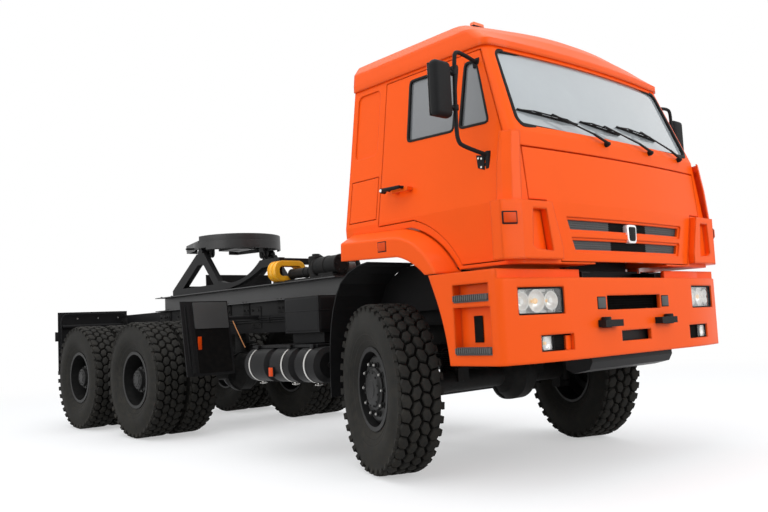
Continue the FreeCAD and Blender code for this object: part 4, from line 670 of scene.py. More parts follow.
def off(spot: Vector, across: float, along: float, up: float) -> Vector:
    """A place a step away from another."""
    return spot + Vector((across, along, up))


def around(spot: Vector, across: float, along: float, up: float) -> tuple[Vector, Vector]:
    """The lowest and highest corners of a box about its middle."""
    reach = Vector((across, along, up))
    return spot - reach, spot + reach


def span(side: int, first: float, last: float) -> list[float]:
    """Two distances from the middle as places on one side, the lower first."""
    return sorted((side * first, side * last))


def circle(centre: Triple, along: int, radius: float, count: int = 6) -> list[Vector]:
    """Places evenly round a circle that is square to one axis."""
    spots = [Vector(centre) for _ in range(count)]
    first, second = (axis for axis in range(3) if axis != along)
    for number, spot in enumerate(spots):
        spot[first] += radius * math.cos(math.tau * number / count)
        spot[second] += radius * math.sin(math.tau * number / count)
    return spots


# ---------------------------------------------------------------- wheels
@dataclass
class Tyres:
    """Block-treaded tyres: a turned casing with rows of six-sided blocks and shoulder lugs."""

    radius: float = 0.568
    floor: float = 0.549
    clearance: float = 0.0018
    shoulder: float = 0.08
    hexagon: float = 0.866
    slant: float = 0.32
    lip: float = 0.004
    groove: tuple[float, float] = (0.0005, 0.0025)
    pitches: int = 38
    rows: tuple[float, ...] = (-0.1005, -0.0335, 0.0335, 0.1005)
    casing: Profile = ((-0.1035, 0.268), (-0.1075, 0.284), (-0.118, 0.3), (-0.13, 0.322),
        (-0.1325, 0.326), (-0.1322, 0.332), (-0.1365, 0.338), (-0.145, 0.362),
        (-0.148, 0.366), (-0.1478, 0.373), (-0.152, 0.38), (-0.156, 0.41), (-0.1572, 0.43),
        (-0.1555, 0.455), (-0.15, 0.48), (-0.145, 0.5), (-0.1425, 0.518), (-0.14, 0.533),
        (-0.13, 0.5455), (-0.1, 0.549))

    def tread(self, shape: Shape) -> None:
        """Adds the rows of blocks, laid flat and then rolled round the casing."""
        mesh = shape.mesh
        pitch = 2 * math.pi * self.radius / self.pitches
        start = set(mesh.verts)
        for row, across in enumerate(self.rows):
            shoulder = abs(across) > self.shoulder
            block = bmesh.ops.create_circle(mesh, cap_ends=True, radius=0.5, segments=6)["verts"]
            wide = 0.066 if shoulder else 0.0645
            bmesh.ops.rotate(mesh, cent=(0, 0, 0),
                matrix=Matrix.Rotation(math.pi / 6, 3, "Z"), verts=block)
            bmesh.ops.scale(mesh, vec=(wide / self.hexagon * 0.95, pitch * 1.04, 1), verts=block)
            if shoulder:
                for vert in block:
                    if vert.co.x * across > 0.001:
                        vert.co.x += math.copysign(0.006, across)
            face = block[0].link_faces[0]
            top = bmesh.ops.extrude_face_region(mesh, geom=[face])["geom"]
            raised = verts_in(top)
            bmesh.ops.translate(mesh,
                vec=(0, 0, self.radius - self.floor - self.clearance), verts=raised)
            bmesh.ops.scale(mesh, vec=(0.86, 0.84, 1), verts=raised)
            for vert in block + raised:
                vert.co.y += vert.co.x * (self.slant if row % 2 else -self.slant)
            lid = [item for item in top if isinstance(item, bmesh.types.BMFace)][0]
            bmesh.ops.delete(mesh, geom=[face], context="FACES_ONLY")
            bmesh.ops.inset_region(mesh, faces=[lid], thickness=self.lip, depth=0.3 * self.lip)
            whole = [vert for vert in mesh.verts if vert not in start]
            if shoulder:
                bmesh.ops.translate(mesh, vec=(0, 0, -0.004), verts=[vert for vert in whole
                    if vert.co.x * across > 0.026 * abs(across) and vert.co.z > 0.01])
            bmesh.ops.translate(mesh, vec=(across, pitch * 0.5 * (row % 2), 0), verts=whole)
            geom = whole + [item for vert in whole for item in vert.link_faces]
            geom = list(dict.fromkeys(geom + [e for v in whole for e in v.link_edges]))
            for number in range(1, self.pitches):
                copy = bmesh.ops.duplicate(mesh, geom=geom)["geom"]
                bmesh.ops.translate(mesh, vec=(0, pitch * number, 0), verts=verts_in(copy))
            for vert in mesh.verts:
                if vert not in start:
                    angle = vert.co.y / self.radius
                    reach = self.floor + vert.co.z
                    vert.co = Vector((reach * math.cos(angle), reach * math.sin(angle), vert.co.x))
            start = set(mesh.verts)

    def lugs(self, shape: Shape) -> None:
        """Adds the short lugs that run from the tread down each side wall."""
        for side in (-1, 1):
            made = bmesh.ops.create_cube(shape.mesh, size=1.0)["verts"]
            bmesh.ops.scale(shape.mesh, vec=(0.062, 0.046, 0.02), verts=made)
            tips = [vert for vert in made if vert.co.x < 0]
            bmesh.ops.scale(shape.mesh, vec=(1, 0.62, 0.35), verts=tips)
            bmesh.ops.rotate(shape.mesh, cent=(0, 0, 0), verts=made,
                matrix=Matrix.Rotation(math.radians(-14 * side), 3, "Y"))
            bmesh.ops.translate(shape.mesh, vec=(0.523, 0, side * 0.1385), verts=made)
            step = 2 * math.pi / self.pitches
            phase = 0.5 * step if side > 0 else 0.0
            bmesh.ops.rotate(shape.mesh, cent=(0, 0, 0), verts=made,
                matrix=Matrix.Rotation(phase, 3, "Z"))
            geom = made + list({edge for vert in made for edge in vert.link_edges})
            geom += list({face for vert in made for face in vert.link_faces})
            for number in range(1, self.pitches):
                copy = bmesh.ops.duplicate(shape.mesh, geom=geom)["geom"]
                bmesh.ops.rotate(shape.mesh, cent=(0, 0, 0), verts=verts_in(copy),
                    matrix=Matrix.Rotation(step * number, 3, "Z"))

    def one(self) -> bpy.types.Mesh:
        """One tyre about the Z axis at the origin."""
        shape = Shape("tyre_master", Paint.TYRE)
        self.tread(shape)
        self.lugs(shape)
        whole = list(self.casing) + [(-along, radius) for along, radius in reversed(self.casing)]
        shape.turned(whole, (0, 0, 0), (0, 0, 1), steps=76)
        # Faces at the tread's base, between the blocks, take the second, darker finish: painted
        # shade in the grooves.
        depth, reach = self.groove
        for face in shape.mesh.faces:
            spot = face.calc_center_median()
            if abs(spot.xy.length - self.floor + depth) < reach:
                face.material_index = 1
        master = bpy.data.meshes.new("tyre_master")
        shape.mesh.to_mesh(master)
        shape.mesh.free()
        return master


@dataclass
class Rims:
    """Wheel discs, hubs and nuts for the steered wheels and the twin wheels."""

    barrel: Profile = ((0.116, 0.25), (0.116, 0.279), (0.11, 0.2815), (0.106, 0.279),
        (0.105, 0.268), (0.085, 0.266), (0.05, 0.256), (-0.05, 0.256), (-0.085, 0.266),
        (-0.105, 0.268), (-0.106, 0.279), (-0.11, 0.2815), (-0.116, 0.279), (-0.116, 0.26),
        (-0.05, 0.249), (0.05, 0.249), (0.09, 0.252))
    dish: Profile = ((0.08, 0.25), (0.06, 0.244), (0.086, 0.23), (0.096, 0.21), (0.098, 0.148),
        (0.108, 0.148), (0.108, 0.216), (0.098, 0.24))

    def steered(self, shape: Shape) -> None:
        """A steered wheel's parts about +Z, with the outside towards +Z."""
        axis = (0, 0, 1)
        shape.use(Paint.RIM).turned(self.barrel, (0, 0, 0), axis, 64, closed=True)
        shape.turned(((0.02, 0.25), (0.045, 0.246), (0.062, 0.232), (0.08, 0.215), (0.086, 0.205),
            (0.086, 0.146), (0.081, 0.14), (0.066, 0.14), (0.066, 0.203), (0.03, 0.24),
            (0.02, 0.242)), (0, 0, 0), axis, 64, closed=True)
        shape.turned(((0.06, 0.144), (0.098, 0.142), (0.104, 0.136), (0.106, 0.124), (0.118, 0.118),
            (0.122, 0.106), (0.122, 0.06), (0.1265, 0.056), (0.1275, 0.048), (0.1275, 0.0001)),
            (0, 0, 0), axis, 56)
        for number in range(10):
            turn = Matrix.Rotation(math.tau * number / 10, 3, "Z")
            spot = turn @ Vector((0.169, 0, 0.086))
            shape.use(Paint.RIM).stud(spot, 0.01, 0.0205, 16, bevel=0.002)
            shape.stud(spot + UP * 0.01, 0.018, 0.0165, 6, bevel=0.0015)
            shape.use(Paint.BRIGHT).stud(spot, 0.036, 0.0085, 10, bevel=0.001)
        for number in range(12):
            turn = Matrix.Rotation(math.tau * (number + 0.5) / 12, 3, "Z")
            spot = turn @ Vector((0.112, 0, 0.1195))
            shape.use(Paint.RIM).stud(spot, 0.0065, 0.007, 6)
        shape.use(Paint.STEEL).drum((0.1, 0.2, 0.07), (0.108, 0.214, 0.104), 0.005, 8)

    def twin(self, shape: Shape, far: float) -> None:
        """A twin wheel's parts; far is how far the inner wheel stands inboard."""
        axis = (0, 0, 1)
        place = Vector((0, 0, -far))
        shape.use(Paint.RIM).turned(self.barrel, (0, 0, 0), axis, 64, closed=True)
        shape.turned([(-along, radius) for along, radius in self.dish], (0, 0, 0), axis,
            64, closed=True)
        shape.turned(self.barrel, place, axis, 56, closed=True)
        shape.turned(self.dish, place, axis, 56, closed=True)
        shape.turned(((-far + 0.055, 0.148), (-0.09, 0.15), (-0.072, 0.144), (-0.066, 0.136),
            (0.04, 0.129), (0.05, 0.123), (0.052, 0.1), (0.084, 0.094), (0.091, 0.086),
            (0.093, 0.052), (0.0985, 0.047), (0.099, 0.0001)), (0, 0, 0), axis, 56)
        for number in range(10):
            turn = Matrix.Rotation(math.tau * number / 10, 3, "Z")
            spot = turn @ Vector((0.182, 0, -0.098))
            shape.use(Paint.RIM).stud(spot, 0.022, 0.0165, 6, bevel=0.0015)
            shape.use(Paint.GREASED).stud(spot, 0.03, 0.0085, 10)
            spot = turn @ Vector((0.111, 0, 0.051))
            shape.use(Paint.RIM).stud(spot, 0.009, 0.0085, 6)
            spot = turn @ Vector((0.07, 0, 0.0915))
            shape.stud(spot, 0.006, 0.0065, 6)


@dataclass
class Wheels:
    """Every steered wheel, and every pair of twin wheels, on its own body."""

    half: float = 0.1575
    twin_turn: float = 0.07

    def build(self) -> None:
        """Makes the tyres and rims in place of the frame's."""
        tyre = Tyres().one()
        rims = Rims()
        joints = DATUM.joints
        for word, side in SIDES:
            joint = joints[f"front_wheel_{word}_spin"]
            axis = Vector(joint["axis"]) * side
            spot = Matrix.Translation(Vector(joint["pos_m"]))
            turn = spot @ axis.to_track_quat("Z", "Y").to_matrix().to_4x4()
            self.tyre_piece(f"tyre_front_{word}", tyre, [turn], f"front_wheel_{word}",
                f"front_tyre_{word}")
            shape = Shape(f"rim_front_{word}", Paint.RIM)
            rims.steered(shape)
            shape.place(turn).done(f"front_wheel_{word}", f"front_rim_{word}")
            for axle in ("mid", "rear"):
                low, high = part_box(f"{axle}_tyres_{word}")
                across = [low.x + self.half, high.x - self.half]
                outer, inner = across if side < 0 else reversed(across)
                middle = (low.y + high.y) / 2
                hub = DATUM.hub_height
                face = Vector((side, 0, 0)).to_track_quat("Z", "Y").to_matrix().to_4x4()
                places = [Matrix.Translation((outer, middle, hub)) @ face, Matrix.Translation(
                    (inner, middle, hub)) @ face @ Matrix.Rotation(self.twin_turn, 4, "Z")]
                body = f"{axle}_wheels_{word}"
                self.tyre_piece(f"tyres_{axle}_{word}", tyre, places, body, f"{axle}_tyres_{word}")
                shape = Shape(f"rims_{axle}_{word}", Paint.RIM)
                rims.twin(shape, abs(outer - inner))
                shape.place(places[0]).done(body, f"{axle}_rims_{word}")
        bpy.data.meshes.remove(tyre)

    @staticmethod
    def tyre_piece(name: str, master: bpy.types.Mesh, places: Sequence[Matrix], body: str,
            node: str) -> None:
        """Sets copies of the master tyre in one piece."""
        # The second finish paints shade into the grooves between the tread blocks.
        shape = Shape(name, Paint.TYRE).use(Paint.GROOVE_SHADE)
        for place in places:
            before = set(shape.mesh.verts)
            shape.mesh.from_mesh(master)
            bmesh.ops.transform(shape.mesh, matrix=place,
                verts=[vert for vert in shape.mesh.verts if vert not in before])
        shape.done(body, node, sharp=30.0)


# ---------------------------------------------------------------- cab
@dataclass
class CabTrim:
    """Seals, wipers, lamps, handles, mirrors and the grille on the cab."""

    skin: Skin
    screen: Profile = ((0.94, 2.122), (0.968, 2.16), (0.918, 2.605), (0.885, 2.634),
        (-0.885, 2.634), (-0.918, 2.605), (-0.968, 2.16), (-0.94, 2.122))
    main_light: Profile = ((-0.292, 2.178), (-0.286, 2.596), (-0.722, 2.586), (-0.704, 2.162))
    tube: Sequence[Triple] = ((1.005, -0.874, 2.56), (1.12, -0.895, 2.574), (1.205, -0.905, 2.578),
        (1.236, -0.912, 2.556), (1.24, -0.908, 2.4), (1.242, -0.902, 2.15), (1.24, -0.905, 2.035),
        (1.215, -0.93, 2.0), (1.09, -1.0, 1.95))
    quarter_light: Profile = ((-0.758, 2.166), (-0.78, 2.58), (-0.874, 2.572), (-0.992, 2.156))

    def build(self) -> None:
        """Makes every piece of trim."""
        self.screen_seal()
        self.wipers()
        self.roof_lamps()
        self.grille()
        for word, side in SIDES:
            self.window_seals(word, side)
            self.handle(word, side)
            self.mirror(word, side)
            self.markers(word, side)

    def screen_seal(self) -> None:
        """The black seal round the windscreen."""
        route, outward = [], []
        middle = 2.39
        for across, height in rounded(self.screen, 0.05, 6):
            spot, normal = self.skin.front(across * 1.012, height + (height - middle) * 0.028)
            route.append(spot - Vector((across * 0.01, 0, (height - middle) * 0.024)))
            outward.append(normal)
        ways = [sum((outward[(step + near) % len(outward)] for near in (-2, -1, 0, 1, 2)),
            Vector()).normalized() for step in range(len(outward))]
        shape = Shape("windscreen_seal", Paint.RUBBER)
        shape.band(route, ways, ((-0.012, -0.02), (0.015, -0.02), (0.015, 0.001), (0.008, 0.005),
            (-0.007, 0.005), (-0.012, 0.001)), True)
        shape.done("cab")

    def window_seals(self, word: str, side: int) -> None:
        """Black seals round a door's two windows."""
        shape = Shape(f"window_seals_{word}", Paint.RUBBER)
        for corners in (self.main_light, self.quarter_light):
            middle = Vector((sum(c[0] for c in corners) / 4, sum(c[1] for c in corners) / 4))
            route, outward = [], []
            for along, height in rounded(corners, 0.032):
                out = Vector((along, height)) - middle
                far = Vector((along, height)) + out.normalized() * 0.014
                spot, normal = self.skin.flank(side, DATUM.front_axle + far.x, far.y)
                spot = spot - Vector((0, out.normalized().x, out.normalized().y)) * 0.014
                route.append(spot)
                outward.append(normal)
            shape.band(route, outward, ((-0.008, -0.016), (0.008, -0.016), (0.008, 0.001),
                (0.004, 0.003), (-0.004, 0.003), (-0.008, 0.001)), True)
        shape.done(f"door_{word}")

    def wipers(self) -> None:
        """Three wipers with pivots, arms and sprung blades."""
        shape = Shape("wiper_set", Paint.PLASTIC)
        for pivot, tips in ((-0.164, ((-0.927, 2.221), (-0.391, 2.188))),
                (0.365, ((-0.347, 2.214), (0.066, 2.173))),
                (0.79, ((0.074, 2.236), (0.564, 2.194)))):
            foot, outward = self.skin.front(pivot, 2.077)
            shape.drum(foot - outward * 0.01, foot + outward * 0.022, 0.017, 16, bevel=0.003)
            shape.drum(foot + outward * 0.018, foot + outward * 0.034, 0.011, 12, bevel=0.002)
            first, way = self.skin.front(*tips[0])
            last, _ = self.skin.front(*tips[1])
            first, last = first + way * 0.012, last + way * 0.012
            middle = first.lerp(last, 0.52) + way * 0.03
            start = foot + outward * 0.026
            elbow = start.lerp(middle, 0.3) + way * 0.012
            shape.drum(start, elbow, 0.0095, 10, 0.0075)
            shape.drum(elbow, middle, 0.006, 8, 0.0045)
            shape.drum(first, last, 0.0055, 8)
            shape.drum(first - way * 0.008, last - way * 0.008, 0.0035, 6)
            for low, high in ((0.05, 0.42), (0.62, 0.95)):
                knee = first.lerp(last, (low + high) / 2) + way * 0.016
                shape.drum(first.lerp(last, low), knee, 0.0042, 6)
                shape.drum(knee, first.lerp(last, high), 0.0042, 6)
            shape.drum(first.lerp(last, 0.23) + way * 0.016,
                first.lerp(last, 0.8) + way * 0.016, 0.0048, 8)
            shape.drum(middle, first.lerp(last, 0.52) + way * 0.012, 0.006, 8)
        shape.done("cab", "wipers")

    def roof_lamps(self) -> None:
        """Five low domed lamps along the roof's front edge."""
        shape = Shape("roof_lamp_set", Paint.DOME)
        low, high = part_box("roof_lamps")
        roof = Skin("roof")
        for across in (-0.76, -0.19, 0.0, 0.19, 0.76):
            spot, _ = roof.hit((across, low.y + 0.03, 4.0), (0, 0, -1))
            base = Vector((across, low.y + 0.03, spot.z))
            top = min(0.03, high.z - base.z - 0.001)
            shape.use(Paint.PLASTIC).block(off(base, -0.058, -0.024, -0.014),
                off(base, 0.058, 0.024, 0.004), 0.004)
            shape.use(Paint.DOME).block(off(base, -0.053, -0.02, -0.004),
                off(base, 0.053, 0.02, top), 0.012, 4)
        shape.done("cab", "roof_lamps")

    def grille(self) -> None:
        """Mesh behind the front panel's slots, and the plain shield between them."""
        shape = Shape("grille_mesh", Paint.MESH)
        for low, high, half in ((1.502, 1.572, 0.655), (1.38, 1.45, 0.618)):
            places = [half * step / 6 for step in range(-6, 7)]
            corners = [(across, self.skin.front(across, 1.6)[0].y + 0.03) for across in places]
            for (left, near), (right, far) in zip(corners, corners[1:]):
                middle = abs(left + right) < half * 0.7
                shape.use(Paint.MESH if middle else Paint.GREY)
                shape.slab(((left, near, low), (right, far, low), (right, far, high),
                    (left, near, high)), (0, 0.006, 0))
                for step in range(5):
                    rise = low + 0.006 + 0.0135 * step
                    shape.slab(((left, near - 0.004, rise), (right, far - 0.004, rise),
                        (right, far - 0.004, rise + 0.004), (left, near - 0.004, rise + 0.004)),
                        (0, 0.005, 0))
        shape.done("front_panel")
        spot, _ = self.skin.front(0.0, 1.6)
        face = spot.y - 0.004
        # The silvered shield carries a faint painted glow.
        shape = Shape("nose_shield", Paint.SILVER)
        line = rounded(((-0.048, 1.44), (0.048, 1.44), (0.056, 1.56), (-0.056, 1.56)), 0.026, 5)
        shape.slab([(x, face, z) for x, z in line], (0, 0.036, 0), 0.004)
        inner = rounded(
            ((-0.034, 1.454), (0.034, 1.454), (0.041, 1.546), (-0.041, 1.546)), 0.018, 5)
        shape.use(Paint.PLASTIC).slab([(x, face - 0.0025, z) for x, z in inner],
            (0, 0.01, 0), 0.001)
        shape.done("front_panel")

    def handle(self, word: str, side: int) -> None:
        """A door's black pull handle with its lock."""
        shape = Shape(f"door_handle_{word}", Paint.PLASTIC)
        start = DATUM.front_axle - 0.318
        face, _ = self.skin.flank(side, start + 0.07, 1.866)
        for along in (0.0, 0.128):
            shape.drum((face.x - side * 0.006, start + along, 1.866),
                (face.x + side * 0.03, start + along, 1.866), 0.011, 14, 0.009)
        shape.drum((face.x + side * 0.03, start - 0.008, 1.866),
            (face.x + side * 0.034, start + 0.15, 1.866), 0.0115, 14, 0.0145, bevel=0.004)
        lock = Vector((face.x, start + 0.176, 1.868))
        shape.drum(lock - Vector((side * 0.006, 0, 0)), off(lock, side * 0.03, 0, 0), 0.02, 20,
            0.017, bevel=0.003)
        # The silvered lock face carries a faint painted glow.
        shape.use(Paint.SILVER).drum(off(lock, side * 0.028, 0, 0),
            off(lock, side * 0.034, 0, 0), 0.01, 16)
        shape.done(f"door_{word}")

    def mirror(self, word: str, side: int) -> None:
        """A mirror: bent tube, brackets, housing and glass."""
        shape = Shape(f"mirror_set_{word}", Paint.PLASTIC)
        low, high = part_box(f"mirror_{word}")
        outer = low.x if side < 0 else high.x
        shape.pipe(
            [at(side * across, along, height) for across, along, height in self.tube], 0.0125)
        foot = at(side * 1.085, -1.0, 1.915)
        skin, _ = self.skin.flank(side, foot.y, foot.z)
        shape.drum(off(foot, 0, 0, -0.045), off(foot, 0, 0, 0.06), 0.02, 14, bevel=0.003)
        for rise in (-0.03, 0.01):
            shape.block((min(skin.x, foot.x) - 0.004, foot.y - 0.014, foot.z + rise),
                (max(skin.x, foot.x) + 0.004, foot.y + 0.06, foot.z + rise + 0.022))
        plate = skin.x + side * 0.004
        shape.slab(((plate, foot.y + 0.02, foot.z - 0.05), (plate, foot.y + 0.072, foot.z - 0.03),
            (plate, foot.y + 0.08, foot.z + 0.048), (plate, foot.y + 0.02, foot.z + 0.038)),
            (side * 0.006, 0, 0), 0.002)
        shape.use(Paint.BRIGHT).bolts(((plate + side * 0.006, foot.y + 0.04, foot.z - 0.03),
            (plate + side * 0.006, foot.y + 0.06, foot.z + 0.026),
            (plate + side * 0.006, foot.y + 0.036, foot.z + 0.02)), (side, 0, 0), 0.007, 0.006)
        pillar, _ = self.skin.flank(side, DATUM.front_axle - 0.872, 2.556)
        shape.use(Paint.PLASTIC).block((pillar.x - 0.016, pillar.y - 0.03, 2.528),
            (pillar.x + 0.016, pillar.y + 0.026, 2.586), 0.006)
        middle = at(side * 1.325, -0.88, 2.335)
        left, right = sorted((outer - side * 0.002, outer - side * 0.146))
        shape.block((left, middle.y - 0.043, middle.z - 0.168),
            (right, middle.y + 0.03, middle.z + 0.168), 0.034, 5)
        shape.use(Paint.RUBBER).block((left + 0.01, middle.y + 0.02, middle.z - 0.157),
            (right - 0.01, middle.y + 0.036, middle.z + 0.157), 0.006)
        shape.use(Paint.CHROME).block((left + 0.016, middle.y + 0.032, middle.z - 0.151),
            (right - 0.016, middle.y + 0.0405, middle.z + 0.151))
        shape.use(Paint.PLASTIC)
        for rise in (0.11, -0.1):
            spot = at(side * 1.241, -0.904, middle.z + rise)
            shape.drum(*around(spot, 0, 0, 0.016), 0.02, 14, bevel=0.003)
            shape.drum(spot, Vector((side * 1.275, middle.y - 0.02, spot.z)), 0.01, 10)
        shape.done(f"door_{word}", f"mirror_{word}")

    @staticmethod
    def marker(shape: Shape, spot: Vector, foot: Triple, lens: Triple,
            turn: Matrix | None = None) -> None:
        """Sets an amber lens on its black foot, each given by half its size."""
        for finish, half in ((Paint.PLASTIC, foot), (Paint.AMBER, lens)):
            shape.use(finish).block(*around(spot, *half), 0.005, 3, turn)

    def markers(self, word: str, side: int) -> None:
        """The amber side lamps on a corner deflector and a wheel arch flare."""
        corners = Skin("corner_deflectors")
        way = Vector((side * 0.463, -0.887, 0.0))
        aim = at(side * 1.178, -1.2045, 1.552)
        spot, _ = corners.hit(aim + way * 0.5, -way)
        turn = Matrix.Rotation(math.atan2(way.y, way.x), 4, "Z")
        shape = Shape(f"corner_marker_{word}", Paint.AMBER)
        self.marker(shape, spot, (0.006, 0.046, 0.037), (0.012, 0.038, 0.029), turn)
        shape.done("cab")
        flare = Skin("cab_fenders")
        spot, _ = flare.flank(side, DATUM.front_axle - 0.207, 1.489)
        base = Vector((side * min(abs(spot.x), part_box("cab_fenders")[1].x), spot.y, spot.z))
        shape = Shape(f"flare_marker_{word}", Paint.AMBER)
        self.marker(shape, base, (0.001, 0.041, 0.034), (0.006, 0.035, 0.028))
        left, right = span(side, 0.966, 0.95)
        shape.use(Paint.ORANGE).block(at(left, -0.64, 1.33), at(right, -0.28, 1.6), 0.002)
        shape.done("cab")


@dataclass
class CabRoom:
    """What shows inside the cab: padded seats, dashboard trim and the steering wheel."""

    places: tuple[float, ...] = (-0.62, 0.0, 0.6)

    def build(self) -> None:
        """Makes the seats and the dashboard's details."""
        for word, middle in zip(("right", "middle", "left"), self.places):
            self.cushion(f"seat_cushion_{word}", (middle - 0.228, -0.418, 1.902),
                (middle + 0.228, 0.056, 2.028), "seats" if middle == 0.0 else "")
            self.cushion(f"seat_back_{word}", (middle - 0.226, 0.064, 1.975),
                (middle + 0.226, 0.178, 2.518), "")
            shape = Shape(f"seat_base_{word}", Paint.INSIDE)
            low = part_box("seats")[0].z if middle else 1.684
            shape.block(at(middle - 0.14, -0.29, low), at(middle + 0.14, 0.03, 1.912), 0.012)
            shape.block(at(middle - 0.2, -0.36, 1.888), at(middle + 0.2, 0.15, 1.906), 0.006)
            for edge in (-0.17, 0.155):
                shape.block(at(middle + edge, 0.12, 1.895),
                    at(middle + edge + 0.015, 0.172, 2.02), 0.004)
            shape.done("cab")
        self.dashboard()
        self.wheel()
        self.linings()
        for word, side in SIDES:
            self.door_card(word, side)

    def linings(self) -> None:
        """The grey lining of the cab's rear wall, its roof and its sides behind the doors."""
        shape = Shape("cab_lining", Paint.LINING)
        low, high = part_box("rear_window")
        shape.block(at(-0.9, -0.84, 2.652), at(0.9, 0.235, 2.664), 0.004)
        near, far = at(0, 0.232, 0).y, at(0, 0.246, 0).y
        for left, right, bottom, top in ((-0.9, 0.9, 1.7, low.z - 0.015),
                (-0.9, 0.9, high.z + 0.015, 2.64),
                (-0.9, low.x - 0.015, low.z - 0.015, high.z + 0.015),
                (high.x + 0.015, 0.9, low.z - 0.015, high.z + 0.015)):
            shape.block((left, near, bottom), (right, far, top))
        shell = Skin("cab_shell")
        for side in (-1, 1):
            corners = []
            for along, height in ((-0.02, 1.74), (0.225, 1.74), (0.225, 2.6), (-0.02, 2.6)):
                spot, _ = shell.hit(at(0, along, height), (side, 0, 0))
                corners.append(spot - Vector((side * 0.006, 0, 0)))
            shape.slab(corners, (-side * 0.008, 0, 0), 0.002)
        shape.done("cab")

    def door_card(self, word: str, side: int) -> None:
        """A door's inner panel with its pull and its pocket."""
        leaf = Skin(f"door_{word}")
        shape = Shape(f"door_card_{word}", Paint.INSIDE)
        corners = []
        for along, height in ((-0.96, 1.46), (-0.13, 1.7), (-0.13, 2.11), (-0.96, 2.11)):
            spot, _ = leaf.hit(at(0, along, height), (side, 0, 0))
            corners.append(spot - Vector((side * 0.004, 0, 0)))
        shape.slab(corners, (-side * 0.01, 0, 0), 0.003)
        rest = (corners[2] + corners[3]) / 2 - Vector((side * 0.03, 0, 0.16))
        shape.block(*around(rest, 0.022, 0.22, 0.02), 0.012, 3)
        shape.done(f"door_{word}")

    def cushion(self, name: str, low: Point, high: Point, node: str) -> None:
        """A crowned pad with pulled-in edges and two channels.

        Args:
            name: the piece's name.
            low: lowest corner, measured from the front axle.
            high: highest corner.
            node: the node that it stands for, or nothing.
        """
        shape = Shape(name, Paint.CLOTH)
        low, high = at(*low), at(*high)
        size, middle = high - low, (high + low) / 2
        bmesh.ops.create_cube(shape.mesh, size=1.0)
        bmesh.ops.subdivide_edges(shape.mesh, edges=list(shape.mesh.edges), cuts=9,
            use_grid_fill=True)
        thin = min(range(3), key=lambda axis: size[axis])
        wide = [axis for axis in range(3) if axis != thin]
        for vert in shape.mesh.verts:
            first, second = (vert.co[axis] * 2 for axis in wide)
            crown = (1 - first ** 4) * (1 - second ** 4)
            rise = 0.64 + 0.36 * crown
            across = vert.co.x * 2
            if abs(abs(across) - 0.33) < 0.09 and abs(second) < 0.95:
                rise -= 0.07
            vert.co[thin] *= rise
            pull = 1 - 0.03 * (1 - crown)
            for axis in wide:
                vert.co[axis] *= pull
        bmesh.ops.smooth_vert(shape.mesh, verts=shape.mesh.verts, factor=0.5, use_axis_x=True,
            use_axis_y=True, use_axis_z=True)
        bmesh.ops.scale(shape.mesh, vec=size, verts=shape.mesh.verts)
        bmesh.ops.translate(shape.mesh, vec=middle, verts=shape.mesh.verts)
        shape.mark()
        piece = shape.done("cab", *([node] if node else []), sharp=180.0)
        soft = piece.modifiers.new("soft", "SUBSURF")
        soft.levels = soft.render_levels = 1

    def dashboard(self) -> None:
        """Vents, a binnacle with three round gauges and a glove box lid."""
        shape = Shape("dash_trim", Paint.INSIDE)
        shape.block(at(0.36, -0.9, 2.085), at(0.84, -0.78, 2.15), 0.018, 3)
        for across in (0.48, 0.6, 0.72):
            shape.use(Paint.WHITE).drum(at(across, -0.786, 2.112),
                at(across, -0.776, 2.108), 0.026, 24)
            shape.use(Paint.INSIDE).drum(at(across, -0.788, 2.112), at(across, -0.774, 2.108),
                0.03, 24, 0.027)
        for across in (-0.72, -0.38, 0.06):
            for step in range(4):
                shape.block(at(across, -0.775, 1.955 + 0.016 * step),
                    at(across + 0.16, -0.748, 1.963 + 0.016 * step), 0.001)
        shape.block(at(-0.74, -0.76, 1.8), at(-0.3, -0.742, 1.925), 0.006)
        shape.done("cab")

    def wheel(self) -> None:
        """A rubber grip and a horn button on the steering wheel."""
        joint = DATUM.joints["steering_wheel_turn"]
        centre, axis = Vector(joint["pos_m"]), Vector(joint["axis"])
        shape = Shape("wheel_grip", Paint.RUBBER)
        loop = [(0.0165 * math.sin(math.tau * step / 12),
            0.215 + 0.0165 * math.cos(math.tau * step / 12)) for step in range(12)]
        shape.turned(loop, centre, axis, closed=True)
        shape.drum(centre + axis * 0.008, centre + axis * 0.02, 0.04, 24, bevel=0.004)
        shape.done("steering_wheel")


